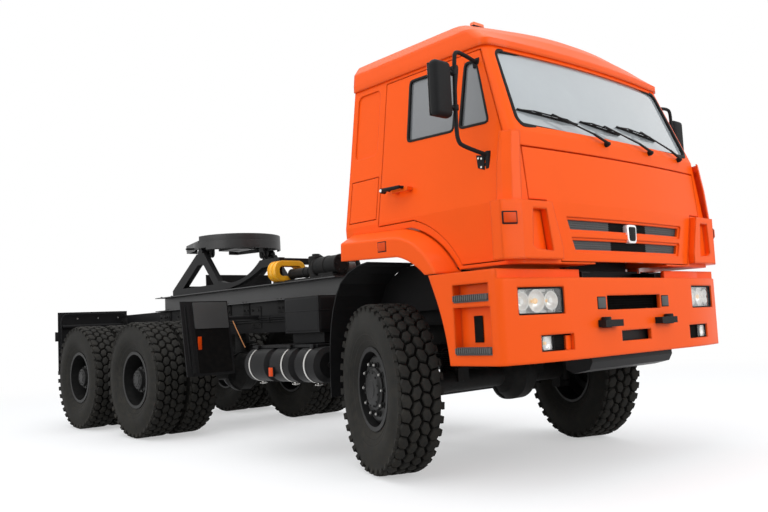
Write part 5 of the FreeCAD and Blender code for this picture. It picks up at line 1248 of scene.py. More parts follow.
# ---------------------------------------------------------------- front
@dataclass
class Front:
    """Lamps, mesh, hooks and steps in the bumper."""

    skin: Skin
    lamp: tuple[float, ...] = (0.7495, 1.1185, 1.0095, 1.1635)
    fog_lamp: tuple[float, ...] = (0.838, 0.9645, 0.7975, 0.8885)
    lamp_depth: float = 0.06

    def build(self) -> None:
        """Makes the bumper's fittings."""
        self.lamps()
        self.openings()
        self.steps()

    def face(self, across: float, height: float) -> float:
        """How far forward the bumper's skin is at a place."""
        return self.skin.front(across, height)[0].y

    def lamps(self) -> None:
        """Headlamps with three bowls each and fog lamps, behind clear lenses."""
        for word, side in SIDES:
            shape = Shape(f"lamp_set_{word}", Paint.SILVER)
            inner, outer, low, high = self.lamp
            near = self.face(side * (inner - 0.012), 1.08) + 0.01
            far = self.face(side * (outer + 0.012), 1.08) + 0.01
            back = self.lamp_depth

            def at_x(part: float) -> float:
                """How far across a part of the lamp's width lies."""
                return side * (inner + (outer - inner) * part)

            def at_y(part: float) -> float:
                """How far along a part of the lamp's width lies."""
                return near + (far - near) * part

            def pane(first: float, last: float, depth: float, rim: float, thick: float) -> None:
                """Adds a flat pane across a part of the lamp's width."""
                left, right = (at_x(first), near + depth), (at_x(last), far + depth)
                shape.slab(((*left, low + rim), (*right, low + rim), (*right, high - rim),
                    (*left, high - rim)), (0, thick, 0))

            pane(0, 1, back, 0, 0.008)
            slope = Vector((at_x(1) - at_x(0), far - near, 0)).normalized()
            outward = UP.cross(slope) * (-side)
            if outward.y > 0:
                outward = -outward
            line = rounded(((at_x(0) + side * 0.004, low + 0.004),
                (at_x(1) - side * 0.004, low + 0.004), (at_x(1) - side * 0.004, high - 0.004),
                (at_x(0) + side * 0.004, high - 0.004)), 0.02, 3)
            route = [(x, near + (far - near) * (abs(x) - inner) / (outer - inner), z)
                for x, z in line]
            shape.use(Paint.PLASTIC).band(route, [outward] * len(route),
                ((-0.004, -0.06), (0.004, -0.06), (0.004, 0.003), (0.002, 0.005), (-0.002, 0.005),
                (-0.004, 0.002)), True)
            # The silvered bowls and caps carry a faint painted glow.
            for part, radius, glow in ((0.2, 0.052, Paint.SILVER), (0.52, 0.062, Paint.BULB),
                    (0.83, 0.05, Paint.SILVER)):
                centre = Vector((at_x(part), at_y(part) + back - 0.002, (low + high) / 2))
                bowl = [(0.0, 0.012), (0.004, 0.03), (0.014, radius * 0.8), (0.034, radius),
                    (0.038, radius), (0.038, radius + 0.004), (0.004, radius + 0.004)]
                shape.use(Paint.SILVER).turned(bowl, centre, outward, 32)
                shape.use(Paint.BULB).drum(centre, centre + outward * 0.028, 0.01, 14, 0.007)
                shape.use(glow).drum(centre + outward * 0.026, centre + outward * 0.034,
                    0.018, 18, 0.014)
            for step in range(7):
                part = 0.06 + 0.147 * step
                spot = Vector((at_x(part), at_y(part) + back - 0.006, 0))
                shape.use(Paint.CHROME).block((spot.x - 0.002, spot.y, low + 0.004),
                    (spot.x + 0.002, spot.y + 0.008, high - 0.004), 0)
            shape.use(Paint.LENS)
            pane(0.02, 0.98, 0.004, 0.006, 0.004)
            self.fog(shape, side)
            shape.done("chassis", *(["front_lamps"] if side < 0 else []))

    def fog(self, shape: Shape, side: int) -> None:
        """A fog lamp beside its black duct."""
        inner, outer, low, high = self.fog_lamp
        near = self.face(side * (outer + 0.014), 0.84) + 0.012
        left, right = span(side, inner, outer)
        # The silvered reflector carries a faint painted glow.
        shape.use(Paint.SILVER).block((left, near + 0.018, low), (right, near + 0.026, high), 0.001)
        centre = (side * (inner + outer) / 2, near + 0.02, (low + high) / 2)
        shape.turned(((0.0, 0.008), (0.002, 0.026), (0.01, 0.038), (0.012, 0.038), (0.012, 0.041),
            (0.001, 0.041)), centre, (0, -1, 0), 28)
        shape.use(Paint.BULB).drum(centre, Vector(centre) - Vector((0, 0.009, 0)), 0.008, 12)
        shape.use(Paint.PLASTIC)
        for first, last, bottom, top in ((inner, outer, low, low + 0.006),
                (inner, outer, high - 0.006, high), (inner, inner + 0.006, low, high),
                (outer - 0.006, outer, low, high)):
            start, end = span(side, first, last)
            shape.block((start, near - 0.004, bottom), (end, near + 0.034, top), 0.001)
        shape.use(Paint.LENS).block((left + 0.004, near + 0.002, low + 0.004),
            (right - 0.004, near + 0.006, high - 0.004), 0.001)

    def openings(self) -> None:
        """Black ducts behind the bumper's openings and the two square sockets."""
        shape = Shape("bumper_ducts", Paint.MESH)
        face = self.face(0.0, 1.15)
        for left, right, low, high, depth in ((-0.33, 0.33, 1.008, 1.116, 0.055),
                (-0.186, 0.186, 0.81, 0.893, 0.055)):
            shape.block((left, face + depth, low), (right, face + depth + 0.006, high), 0)
            for step in range(int((right - left) / 0.011)):
                across = left + 0.005 + 0.011 * step
                shape.block((across, face + depth - 0.004, low),
                    (across + 0.002, face + depth, high), 0)
            for step in range(int((high - low) / 0.016)):
                rise = low + 0.008 + 0.016 * step
                shape.block((left, face + depth - 0.005, rise),
                    (right, face + depth - 0.001, rise + 0.002), 0)
        for side in (-1, 1):
            near = self.face(side * 0.66, 0.84)
            left, right = span(side, 0.674, 0.845)
            shape.use(Paint.MESH).block((left, near + 0.04, 0.79), (right, near + 0.048, 0.896), 0)
            for step in range(6):
                rise = 0.802 + 0.015 * step
                shape.block((left, near + 0.032, rise), (right, near + 0.042, rise + 0.003), 0)
            left, right = span(side, 0.327, 0.42)
            spot = self.face(side * 0.372, 1.063)
            shape.use(Paint.PLASTIC).block((left, spot - 0.003, 1.024),
                (right, spot + 0.01, 1.102), 0.004)
            shape.use(Paint.GREY).block((left + 0.006, spot - 0.005, 1.03),
                (right - 0.006, spot + 0.01, 1.096))
        shape.done("chassis")

    def steps(self) -> None:
        """Toothed steps, a near-black plate that paints the shade of the upright slot between them,
        and pins through the hooks.
        """
        shape = Shape("step_teeth", Paint.TREAD)
        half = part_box("step_treads")[1].x
        last = 16
        for level, front, rear in ((1.1323, -1.077, -0.809), (0.8313, -1.084, -0.809)):
            for step in range(last + 1):
                along = front + 0.008 + (rear - front - 0.016) * step / last
                for inset in (0.004, 0.022, 0.04):
                    shape.block(at(half - inset - 0.012, along - 0.005, level - 0.002),
                        at(half - inset, along + 0.005, level + 0.009), 0.001, 1)
            shape.block(at(half - 0.02, front + 0.004, level - 0.024),
                at(half + 0.012, rear - 0.004, level - 0.001))
            for step in range(last + 1):
                along = front + 0.01 + (rear - front - 0.02) * step / last
                shape.block(at(half + 0.002, along - 0.004, level - 0.028),
                    at(half + 0.017, along + 0.004, level + 0.005), 0.001, 1)
        # A near-black plate stands in for the slot's inside: painted shade.
        shape.use(Paint.MESH).block(at(half - 0.057, -0.978, 0.866),
            at(half - 0.052, -0.912, 1.018))
        shape.twin()
        shape.done("chassis")
        shape = Shape("hook_pins", Paint.CAST)
        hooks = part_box("tow_hooks")
        spot = Vector((0.37, hooks[0].y + 0.032, 0.936))
        shape.turned(((-0.026, 0.0185), (-0.026, 0.03), (0.034, 0.03), (0.04, 0.026),
                      (0.04, 0.0185)), spot, (0, 0, 1), 24, closed=True)
        shape.twin()
        shape.done("chassis")


# ---------------------------------------------------------------- chassis
@dataclass(frozen=True)
class LeafPack:
    """A stack of spring leaves: its middle, its reach and how it lies."""

    middle: float
    reach: float
    base: float
    camber: float
    count: int
    thick: float
    step: float
    upward: int

    def build(self, shape: Shape, left: float, width: float) -> None:
        """Adds the leaves between two upright planes.

        Args:
            shape: the piece that gathers them.
            left: the pack's inner side.
            width: how wide a leaf is.
        """
        for number in range(self.count):
            reach = self.reach - self.step * number
            rise = self.upward * self.thick * number
            low = [(self.middle + reach * part / 8, self.base + rise + self.camber
                * (reach * part / 8 / self.reach) ** 2) for part in range(-8, 9)]
            top = [(along, height + self.thick - 0.0018) for along, height in reversed(low)]
            shape.slab([(left, along, height) for along, height in low + top],
                (width, 0, 0), 0.0015, 1)


@dataclass
class Chassis:
    """Springs, straps, bolts, guards and lamps on the frame."""

    rail_face: float = 0.4325
    plates: tuple[float, ...] = (1.48, 2.58, 4.11, 4.53, 5.59)
    brackets: tuple[float, ...] = (1.6, 2.15, 2.75, 3.1, 3.95, 4.4)
    top_bolts: tuple[float, ...] = (1.3, 1.7, 2.0, 2.2, 2.6, 3.0, 4.25, 4.5)
    pipe_clips: tuple[float, ...] = (1.75, 2.35, 2.95, 3.55, 4.75, 5.25)
    air_tank: tuple[float, float] = (-0.966, 0.715)
    air_spans: Sequence[Triple] = ((0.76, 1.06, 0.905), (1.085, 1.4, 1.205), (1.425, 1.765, 1.665))

    def build(self) -> None:
        """Makes the chassis fittings."""
        self.springs()
        self.rail_bolts()
        self.air_tanks()
        self.fuel_tank()
        self.battery_box()
        self.guards()
        self.tail_lamps()
        self.winch()
        self.coupling()
        self.pipes()
        self.axles()

    def springs(self) -> None:
        """Leaf packs with their clamps, hangers and trunnions."""
        shape = Shape("spring_leaves", Paint.CAST)
        front = DATUM.front_axle
        LeafPack(front, 0.75, 0.7495, 0.15, 7, 0.0135, 0.098, -1).build(shape, 0.387, 0.086)
        for along in (-0.068, 0.068):
            shape.pipe([at(across, along, height) for across, height in ((0.377, 0.64),
                (0.377, 0.785), (0.43, 0.8), (0.483, 0.785), (0.483, 0.64))], 0.009, 2)
        shape.block(at(0.372, -0.095, 0.762), at(0.488, 0.095, 0.782), 0.004)
        for along in (-0.755, 0.755):
            shape.block(at(0.386, along - 0.03, 0.893), at(0.474, along + 0.03, 0.9715), 0.006)
            shape.drum(at(0.38, along, 0.915), at(0.48, along, 0.915), 0.024, 18, bevel=0.003)
        middle = DATUM.mid_axle + 0.72
        LeafPack(middle, 0.775, 0.7225, -0.058, 9, 0.0152, 0.08, 1).build(shape, 0.462, 0.086)
        for along in (-0.085, 0.085):
            shape.pipe([(across, middle + along, height) for across, height in ((0.452, 0.65),
                (0.452, 0.868), (0.505, 0.886), (0.558, 0.868), (0.558, 0.65))], 0.011, 2)
        shape.block((0.447, middle - 0.115, 0.86), (0.563, middle + 0.115, 0.876), 0.004)
        shape.block((0.46, middle - 0.105, 0.66), (0.55, middle + 0.105, 0.722), 0.006)
        shape.block((0.434, middle - 0.118, 0.641), (0.492, middle + 0.118, 0.989), 0.008)
        shape.turned(((-0.072, 0.001), (-0.072, 0.06), (0.05, 0.06), (0.06, 0.052), (0.066, 0.052),
            (0.066, 0.018), (0.077, 0.018), (0.077, 0.001)), (0.515, middle, 0.69), (1, 0, 0), 32)
        shape.use(Paint.BRIGHT).bolts(circle((0.58, middle, 0.69), 0, 0.041),
            (1, 0, 0), 0.006, 0.006)
        shape.use(Paint.CAST).bolts([(0.492, middle + along, height) for along in (-0.09, 0.09)
            for height in (0.8, 0.85, 0.9, 0.95)], (1, 0, 0), 0.01, 0.009)
        shape.twin()
        shape.done("chassis", "leaf_springs")

    def rail_bolts(self) -> None:
        """Bolt heads where the crossmembers and the upper frame meet the rails."""
        shape = Shape("rail_bolts", Paint.CAST)
        face = self.rail_face
        for along in self.plates:
            shape.block(at(face - 0.001, along - 0.085, 1.015),
                at(face + 0.008, along + 0.085, 1.225))
            shape.bolts([at(face + 0.008, along + step, height) for step in (-0.05, 0.05)
                for height in (1.05, 1.12, 1.19)], (1, 0, 0), 0.011, 0.01)
        for along in self.brackets:
            shape.block(at(face - 0.001, along - 0.055, 1.15),
                at(face + 0.009, along + 0.055, 1.262))
            shape.block(at(face - 0.001, along - 0.055, 1.262),
                at(0.499, along + 0.055, 1.2715), 0.002)
            shape.bolts([at(face + 0.009, along + step, 1.195) for step in (-0.03, 0.03)],
                (1, 0, 0), 0.011, 0.01)
            shape.bolts([at(0.455, along + step, 1.2715) for step in (-0.03, 0.03)],
                (0, 0, 1), 0.01, 0.008)
        shape.bolts([at(0.47, along, 1.42) for along in self.top_bolts], (0, 0, 1), 0.011, 0.009)
        shape.twin()
        shape.block(at(-0.4, 5.5, 1.235), at(0.4, 5.555, 1.24), 0.002)
        shape.done("chassis")

    def air_tanks(self) -> None:
        """Straps, seams, valves and a reflector on the three air tanks."""
        shape = Shape("tank_straps", Paint.BRIGHT)
        across, level = self.air_tank
        for start, end, spot in self.air_spans:
            shape.use(Paint.BRIGHT)
            shape.hoop(0.009, 0.1335, 0.1375, at(across, spot, level), (0, 1, 0), 44)
            shape.block(at(across - 0.014, spot - 0.012, level - 0.158),
                at(across + 0.014, spot + 0.012, level - 0.134))
            shape.drum(at(across - 0.034, spot, level - 0.15),
                at(across + 0.034, spot, level - 0.15), 0.005, 10)
            shape.use(Paint.BLACK).block(at(-1.024, spot - 0.02, 0.842),
                at(-0.999, spot + 0.02, 0.872), 0.002)
            for seam in (start + 0.028, end - 0.028):
                shape.turned(((-0.004, 0.1332), (0.0, 0.1362), (0.004, 0.1332)),
                    at(across, seam, level), (0, 1, 0), 40)
            middle = (start + end) / 2
            shape.drum(at(across, middle, level - 0.132),
                at(across, middle, level - 0.146), 0.016, 12)
            shape.drum(at(across, start + 0.004, level), at(across, start - 0.01, level), 0.022, 12)
        shape.block(at(-1.1085, 1.306, 0.626), at(-1.088, 1.372, 0.704))
        # The amber reflector carries a faint painted glow.
        shape.use(Paint.AMBER).block(at(-1.113, 1.311, 0.631), at(-1.104, 1.367, 0.699))
        shape.done("chassis")

    def fuel_tank(self) -> None:
        """Straps, seams and a filler cap on the fuel tank."""
        shape = Shape("fuel_straps", Paint.BRIGHT)
        inner, outer, low, high = 0.56, 1.12, 0.56, 1.13
        line = rounded(((inner, low), (outer, low), (outer, high), (inner, high)), 0.098, 6)
        middle = Vector(((inner + outer) / 2, (low + high) / 2))
        ways = [Vector((across - middle.x, 0, height - middle.y)) for across, height in line]
        for finish, places, section in ((Paint.BRIGHT, (1.13, 2.01),
                ((-0.022, -0.002), (0.022, -0.002), (0.022, 0.004), (-0.022, 0.004))),
                (Paint.BLACK, (0.952, 1.58, 2.198),
                ((-0.007, -0.003), (0.007, -0.003), (0.004, 0.004), (-0.004, 0.004)))):
            shape.use(finish)
            for along in places:
                route = [at(across, along, height) for across, height in line]
                shape.band(route, ways, section, True)
        spot = at(0.9, 1.3, 1.128)
        shape.stud(spot, 0.026, 0.06, 28, bevel=0.004)
        shape.use(Paint.PLASTIC).drum(spot + UP * 0.024, spot + UP * 0.056, 0.052, 20,
            0.048, bevel=0.005)
        shape.block(off(spot, -0.046, -0.007, 0.052), off(spot, 0.046, 0.007, 0.066))
        shape.done("chassis")

    def battery_box(self) -> None:
        """The battery box's rounded cover and the relay box beside it."""
        shape = Shape("battery_lid", Paint.PLASTIC)
        shape.block(at(-0.905, 0.955, 0.957), at(-0.556, 1.425, 1.25), 0.03, 5)
        shape.block(at(-0.907, 0.953, 1.128), at(-0.554, 1.427, 1.134), 0.002)
        shape.block(at(-0.845, 1.425, 1.02), at(-0.6, 1.5, 1.2), 0.01, 3)
        shape.bolts([at(-0.846, 1.46, height) for height in (1.05, 1.17)], (-1, 0, 0), 0.01, 0.008)
        shape.done("chassis")

    def guards(self) -> None:
        """Plates, raised ribs and reflectors on the mudguards."""
        shape = Shape("guard_ribs", Paint.PLASTIC)
        slope = (2.548 - 2.44) / (1.285 - 0.616)

        def face(height: float) -> float:
            """How far back the leaning guard's face lies at a height."""
            return 2.44 + slope * (height - 0.616)

        def sheet(left: float, right: float, low: float, high: float, rise: float) -> None:
            """Lays a thin rounded plate on the guard's face."""
            shape.slab([at(across, face(height) - rise, height) for across, height in rounded(
                ((left, low), (right, low), (right, high), (left, high)), 0.012, 2)],
                (0, rise + 0.002, 0), 0.001, 1)

        out = Vector((0, -1, slope)).normalized()
        line = rounded(((1.166, 0.69), (1.212, 0.69), (1.212, 1.235), (1.166, 1.235)), 0.022, 5)
        shape.band([at(across, face(height), height) for across, height in line], [out] * len(line),
            ribbon(0.014, 0.008, 0.4), True)
        shape.use(Paint.MESH)
        sheet(0.79, 1.128, 0.64, 1.036, 0.003)
        shape.use(Paint.GREY)
        sheet(0.785, 1.132, 1.036, 1.274, 0.01)
        # The amber reflector carries a faint painted glow.
        spot = at(1.1, face(0.905) - 0.006, 0.905)
        shape.use(Paint.AMBER).block(*around(spot, 0.018, 0.006, 0.06))
        shape.use(Paint.PLASTIC)
        line = rounded(((0.4, 0.65), (1.195, 0.65), (1.195, 1.295), (0.4, 1.295)), 0.09, 5)
        faces = ((5.628, (0, -1, 0)), (5.6365, (0, 1, 0)))
        for along, way in faces:
            route = [at(across, along, height) for across, height in line]
            shape.band(route, [way] * len(route), ribbon(0.016, 0.006, 0.4), True)
        for height in (0.78, 0.9, 1.02):
            for along, way in faces:
                shape.band([at(0.47, along, height), at(1.13, along, height)], [way] * 2,
                    ribbon(0.014, 0.005, 0.4))
        shape.use(Paint.BRIGHT).bolts([at(across, 5.636, 1.24) for across in (0.5, 0.75, 1.0)],
            (0, 1, 0), 0.01, 0.008)
        shape.twin()
        shape.done("chassis")

    def tail_lamps(self) -> None:
        """Rear lamp boxes with red, amber and clear lenses."""
        shape = Shape("tail_lamp_set", Paint.RED)
        low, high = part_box("tail_lamps")
        for side in (-1, 1):
            start, end = span(side, 1.05, 1.25)
            shape.use(Paint.PLASTIC).block((start, low.y, low.z),
                (end, high.y - 0.007, high.z), 0.004)
            for left, right, finish in ((1.056, 1.11, Paint.WHITE), (1.113, 1.178, Paint.RED),
                    (1.181, 1.244, Paint.AMBER)):
                start, end = span(side, left, right)
                shape.use(finish).block((start, high.y - 0.012, low.z + 0.007),
                    (end, high.y - 0.0005, high.z - 0.007), 0.004, 3)
        shape.done("chassis", "tail_lamps")

    def winch(self) -> None:
        """Rope on the drum, fins on the motor, bolts, and the yellow guard's rims."""
        shape = Shape("winch_parts", Paint.STEEL)
        axis = at(0.0, 1.8, 1.54)
        for number in range(24):
            spot = Vector((-0.252 + 0.0158 * number, axis.y, axis.z))
            shape.turned(((-0.0076, 0.086), (-0.005, 0.0915), (0.0, 0.0935), (0.005, 0.0915),
                (0.0076, 0.086)), spot, (1, 0, 0), 28)
        shape.use(Paint.CAST)
        for left in (-0.275, 0.13):
            spot = Vector((left + 0.007, axis.y, axis.z))
            shape.hoop(0.01, 0.108, 0.121, spot, (1, 0, 0), 40)
            head = (left + (0.014 if left > 0 else 0.0), axis.y, axis.z)
            shape.bolts(circle(head, 0, 0.05), (1 if left > 0 else -1, 0, 0), 0.009, 0.008)
        for along in (1.262, 1.42, 1.568):
            shape.turned(((-0.01, 0.079), (-0.008, 0.084), (0.008, 0.084), (0.01, 0.079)),
                at(-0.42, along, 1.525), (0, 1, 0), 32)
        shape.bolts(circle(at(-0.42, 1.25, 1.525), 1, 0.06), (0, -1, 0), 0.008, 0.008)
        shape.turned(((0.0, 0.061), (0.0, 0.067), (0.052, 0.067), (0.058, 0.06), (0.058, 0.001)),
            at(-0.42, 1.61, 1.562), (0, 0, 1), 32)
        shape.drum(at(-0.42, 1.61, 1.618), at(-0.42, 1.61, 1.64), 0.034, 18, bevel=0.004)
        for along in (1.69, 1.76, 1.972):
            shape.turned(((-0.008, 0.043), (-0.006, 0.049), (0.006, 0.049), (0.008, 0.043)),
                at(-0.42, along, 1.49), (0, 1, 0), 28)
        shape.use(Paint.BLACK).bolts(
            [at(across, along, 1.434) for across in (-0.46, 0.16) for along in (1.3, 1.7, 2.09)],
            (0, 0, 1), 0.012, 0.01)
        shape.done("chassis")
        shape = Shape("guard_rims", Paint.YELLOW)
        route, ways = [(-0.43, 1.4343)], [(0, -1)]
        for centre, first in (((-0.51, 1.5143), -90), ((-0.51, 1.5303), -180),
                ((-0.34, 1.5303), -270)):
            for step in range(9):
                turn = math.radians(first - 11.25 * step)
                route.append((centre[0] + 0.08 * math.cos(turn), centre[1] + 0.08 * math.sin(turn)))
                ways.append((math.cos(turn), math.sin(turn)))
        for along in (1.997, 2.055, 2.113):
            shape.band([at(across, along, height) for across, height in route],
                [(across, 0, height) for across, height in ways],
                ((-0.0065, -0.004), (0.0065, -0.004), (0.005, 0.007), (-0.005, 0.007)))
        shape.done("chassis")

    def coupling(self) -> None:
        """The coupling's thick rounded rim, seams, bolts, pivot rings and handle."""
        joint = DATUM.joints["coupling_tilt"]
        middle = Vector(joint["pos_m"])
        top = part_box("coupling_plate")[1].z
        shape = Shape("coupling_rim", Paint.GREASED)
        route, ways = [], []
        for step in range(49):
            turn = math.pi + math.pi * step / 48
            way = Vector((math.cos(turn), math.sin(turn), 0))
            route.append(Vector((middle.x, middle.y, top - 0.009)) + way * 0.462)
            ways.append(way)
        shape.band(route, ways,
            ((-0.074, 0.0), (-0.074, 0.0065), (-0.012, 0.0078), (-0.002, 0.0055), (0.006, -0.001),
            (0.0088, -0.009), (0.0088, -0.06), (0.002, -0.06), (0.002, 0.0)))
        for side in (-1, 1):
            first = Vector((side * 0.466, middle.y + 0.01, top - 0.009))
            last = Vector((side * 0.332, middle.y + 0.532, top - 0.009))
            way = (last - first).cross(UP).normalized() * side
            shape.band([first, last], [way, way],
                ((-0.034, -0.01), (0.034, -0.01), (0.03, 0.004), (-0.03, 0.004)))
        for radius, first, last in ((0.3, 200, 340), (0.395, 205, 335)):
            route = [Vector((middle.x + radius * math.cos(math.radians(turn)), middle.y + radius
                * math.sin(math.radians(turn)), top)) for turn in range(first, last + 1, 5)]
            shape.band(route, [UP] * len(route),
                ((-0.004, -0.002), (0.004, -0.002), (0.003, 0.0), (-0.003, 0.0)))
        shape.use(Paint.CAST).bolts([Vector((side * across, middle.y + along, top - 0.0185))
            for side in (-1, 1) for across, along in ((0.22, -0.22), (0.3, 0.12), (0.25, 0.34))],
            (0, 0, -1), 0.014, 0.012)
        for side in (-1, 1):
            for offset in (0.318, 0.358):
                face = side * offset + side * (0.011 if offset > 0.34 else -0.011)
                shape.turned(((0.0, 0.0205), (0.0, 0.034), (0.006, 0.032), (0.006, 0.0205)),
                    (face, middle.y, middle.z), (side if offset > 0.34 else -side, 0, 0),
                    28, closed=True)
        grip = Vector((-0.492, middle.y + 0.243, top - 0.046))
        shape.use(Paint.PLASTIC).drum(grip, off(grip, 0.108, -0.053, 0), 0.0115, 14, bevel=0.003)
        shape.done("coupling_plate")

    def pipes(self) -> None:
        """Air pipes along the rail with their clips, and a bent copper pipe."""
        shape = Shape("frame_pipes", Paint.PLASTIC)
        for height, radius in ((1.075, 0.007), (1.095, 0.006), (1.112, 0.006)):
            shape.pipe([at(across, along, height + lift) for across, along, lift in (
                (-0.44, 1.45, 0), (-0.441, 2.2, 0), (-0.441, 2.9, 0.004), (-0.442, 3.6, 0),
                (-0.442, 4.6, 0), (-0.442, 5.3, 0))], radius, 2, 4)
        for along in self.pipe_clips:
            shape.block(at(-0.452, along - 0.008, 1.064), at(-0.432, along + 0.008, 1.122), 0.002)
        shape.use(Paint.COPPER).pipe([at(-0.5, 2.905, 1.1), at(-0.505, 2.87, 1.062),
            at(-0.5, 2.76, 0.915), at(-0.495, 2.705, 0.84)], 0.0055, 2)
        shape.done("chassis")

    def axles(self) -> None:
        """Cover bolts, brake pots and shaft joints under the frame."""
        shape = Shape("axle_parts", Paint.CAST)
        level = DATUM.hub_height
        for place in (DATUM.mid_axle, DATUM.rear_axle):
            shape.hoop(0.016, 0.17, 0.212, (0, place - 0.045, level), (0, 1, 0), 40)
            shape.bolts(circle((0, place - 0.061, level), 1, 0.192, 14), (0, -1, 0), 0.01, 0.009)
            for side in (-1, 1):
                pot = Vector((side * 0.36, place + 0.1, level + 0.13))
                shape.drum(pot, off(pot, 0, 0.085, 0.02), 0.075, 26, bevel=0.01)
                shape.drum(off(pot, 0, 0.08, 0.02), off(pot, 0, 0.135, 0.03), 0.068, 26, bevel=0.01)
                shape.drum(pot, off(pot, 0, -0.07, -0.02), 0.016, 12)
                shape.block((side * 0.36 - 0.045, place + 0.03, level + 0.02),
                    (side * 0.36 + 0.045, place + 0.11, level + 0.16), 0.006)
        for place, height in ((DATUM.mid_axle - 0.4, level + 0.062),
                (DATUM.mid_axle + 0.35, level + 0.06), (DATUM.rear_axle - 0.41, level + 0.06)):
            spot = Vector((0, place, height))
            shape.drum(off(spot, 0, -0.035, 0), off(spot, 0, 0.024, 0), 0.058, bevel=0.006)
            shape.block(off(spot, -0.066, -0.055, -0.02), off(spot, 0.066, -0.02, 0.02), 0.008)
            shape.block(off(spot, -0.02, -0.055, -0.066), off(spot, 0.02, -0.02, 0.066), 0.008)
        front = Vector((0.21, DATUM.front_axle, level))
        shape.hoop(0.012, 0.15, 0.192, off(front, 0, 0.05, 0), (0, 1, 0), 36)
        shape.done("chassis")


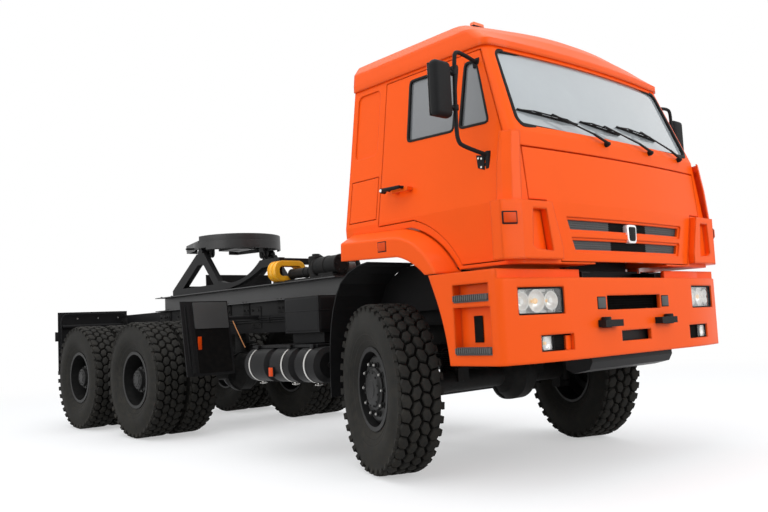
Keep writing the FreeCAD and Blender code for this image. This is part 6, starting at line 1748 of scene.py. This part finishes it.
# ---------------------------------------------------------------- studio
@dataclass
class Studio:
    """Floor, soft lights, plain surroundings and the camera."""

    eye: Point = (-4.646, -6.253, 0.993)
    turn: float = 41.64
    lift: float = 4.88
    roll: float = -2.76
    lens: float = 37.68

    def build(self) -> None:
        """Sets everything up."""
        self.floor()
        self.surroundings()
        self.lights()
        self.camera()

    @staticmethod
    def show(graph: Graph, lit: bpy.types.Node, seen: bpy.types.Node, output: str) -> None:
        """Uses one shader for light, and another where a camera, mirror or glass looks."""
        rays = graph.add("LightPath").outputs
        total = rays["Is Camera Ray"]
        for name in ("Is Glossy Ray", "Is Transmission Ray"):
            total = graph.maths("MAXIMUM", total, rays[name])
        mix = graph.add("MixShader", {0: total, 1: lit.outputs[0], 2: seen.outputs[0]})
        graph.add(output, {"Surface": mix.outputs[0]})

    def floor(self) -> None:
        """A pale floor that runs out to the same white as the background."""
        mesh = bmesh.new()
        bmesh.ops.create_grid(mesh, x_segments=1, y_segments=1, size=FLOOR_SIZE)
        data = bpy.data.meshes.new("studio_floor")
        mesh.to_mesh(data)
        mesh.free()
        material = bpy.data.materials.new("floor_paper")
        graph = Graph.owned(material)
        far = graph.add("VectorMath", {"Vector": graph.add("TexCoord").outputs["Object"]},
            operation="LENGTH").outputs["Value"]
        fade = graph.remap(far, 4.5, 12.0, 0.45, interpolation_type="SMOOTHSTEP")
        paper = graph.add("BsdfPrincipled", {"Base Color": (0.9, 0.9, 0.9, 1.0), "Roughness": 0.75})
        glow = graph.add("Emission", {"Color": (1.0, 1.0, 1.0, 1.0), "Strength": 1.0})
        seen = graph.add("MixShader", {0: fade, 1: paper.outputs[0], 2: glow.outputs[0]})
        plain = graph.add("BsdfPrincipled",
            {"Base Color": (0.34, 0.34, 0.34, 1.0), "Roughness": 0.8})
        self.show(graph, plain, seen, "OutputMaterial")
        data.materials.append(material)
        piece = bpy.data.objects.new("studio_floor", data)
        bpy.context.scene.collection.objects.link(piece)

    def surroundings(self) -> None:
        """White where the camera looks, softer grey as light."""
        world = bpy.data.worlds.new("studio_world")
        bpy.context.scene.world = world
        graph = Graph.owned(world)
        rise = graph.remap(graph.height(graph.add("TexCoord").outputs["Generated"]), 0.0,
            0.9, 0.55, 1.05)
        sky = graph.add("Background", {"Color": (0.93, 0.96, 1.0, 1.0), "Strength": rise})
        plain = graph.add("Background", {"Color": (1.0, 1.0, 1.0, 1.0), "Strength": 1.0})
        self.show(graph, sky, plain, "OutputWorld")

    def lights(self) -> None:
        """Large soft lamps: one overhead, one ahead and one on the right."""
        for name, place, aim, size, power in (
                ("lamp_top", (-1.5, -1.0, 8.5), (0.0, 0.0, 1.0), (9.0, 11.0), 360.0),
                ("lamp_front", (1.5, -11.0, 4.0), (0.0, -1.5, 1.4), (7.0, 4.5), 330.0),
                ("lamp_right", (-10.5, -0.5, 4.0), (0.0, 0.0, 1.3), (8.0, 4.5), 270.0)):
            data = bpy.data.lights.new(name, "AREA")
            data.shape = "RECTANGLE"
            data.size, data.size_y = size
            data.energy = power
            lamp = bpy.data.objects.new(name, data)
            lamp.location = place
            way = Vector(aim) - Vector(place)
            lamp.rotation_euler = way.to_track_quat("-Z", "Y").to_euler()
            bpy.context.scene.collection.objects.link(lamp)

    def camera(self) -> None:
        """A camera about a metre up, ahead of the right corner."""
        yaw, pitch, roll = (math.radians(value) for value in (self.turn, self.lift, self.roll))
        ahead = Vector(
            (math.sin(yaw) * math.cos(pitch), math.cos(yaw) * math.cos(pitch), math.sin(pitch)))
        right = Vector((math.cos(yaw), -math.sin(yaw), 0.0))
        over = right.cross(ahead)
        across = right * math.cos(roll) + over * math.sin(roll)
        over = over * math.cos(roll) - right * math.sin(roll)
        data = bpy.data.cameras.new("main_camera")
        data.lens = self.lens
        data.sensor_width = 36.0
        data.clip_end = 200.0
        camera = bpy.data.objects.new("main_camera", data)
        camera.matrix_world = Matrix.Translation(self.eye) @ Matrix(
            (across, over, -ahead)).transposed().to_4x4()
        bpy.context.scene.collection.objects.link(camera)
        bpy.context.scene.camera = camera


# ---------------------------------------------------------------- all together
FRAME_FINISHES = {Paint.ROOF: ("roof",),
    Paint.MOULDING: ("bumper", "corner_deflectors", "cab_fenders"), Paint.ORANGE:
    ("cab_shell", "door_right", "door_left", "front_panel", "side_lid_right", "side_lid_left"),
    Paint.GLASS: ("windscreen",), Paint.DARK_GLASS:
    ("rear_window", "door_glass_right", "door_glass_left"), Paint.TREAD: ("step_treads",),
    Paint.PLASTIC: ("mudguards", "battery_box"), Paint.INSIDE: ("dashboard", "steering_wheel"),
    Paint.CAST: ("engine", "driveline", "front_axle", "mid_axle", "rear_axle",
    "knuckle_right", "knuckle_left", "winch", "tow_hooks"), Paint.GREASED: ("coupling_plate",),
    Paint.YELLOW: ("winch_guard",), Paint.SUBFRAME: ("subframe",), Paint.BLACK: ("frame_rails",
    "coupling_stand", "under_member", "radiator", "fuel_tank", "air_tanks", "tie_rod"),}


def paint_frame() -> None:
    """Gives the frame's own nodes their finishes."""
    for finish, names in FRAME_FINISHES.items():
        for name in names:
            piece = frame["nodes"][name]
            for number in range(max(1, len(piece.material_slots))):
                if number >= len(piece.data.materials):
                    piece.data.materials.append(finish.material())
                else:
                    piece.data.materials[number] = finish.material()


def main() -> None:
    """Builds the tractor unit and its studio."""
    logging.basicConfig(level=logging.INFO)
    paint_frame()
    skin = Skin("cab_shell", "front_panel", "door_right", "door_left", "windscreen",
        "door_glass_right", "door_glass_left")
    Wheels().build()
    CabTrim(skin).build()
    CabRoom().build()
    Front(Skin("bumper")).build()
    Chassis().build()
    Studio().build()
    scene = bpy.context.scene
    scene.view_settings.view_transform = "Standard"


if __name__ == "__main__":
    main()
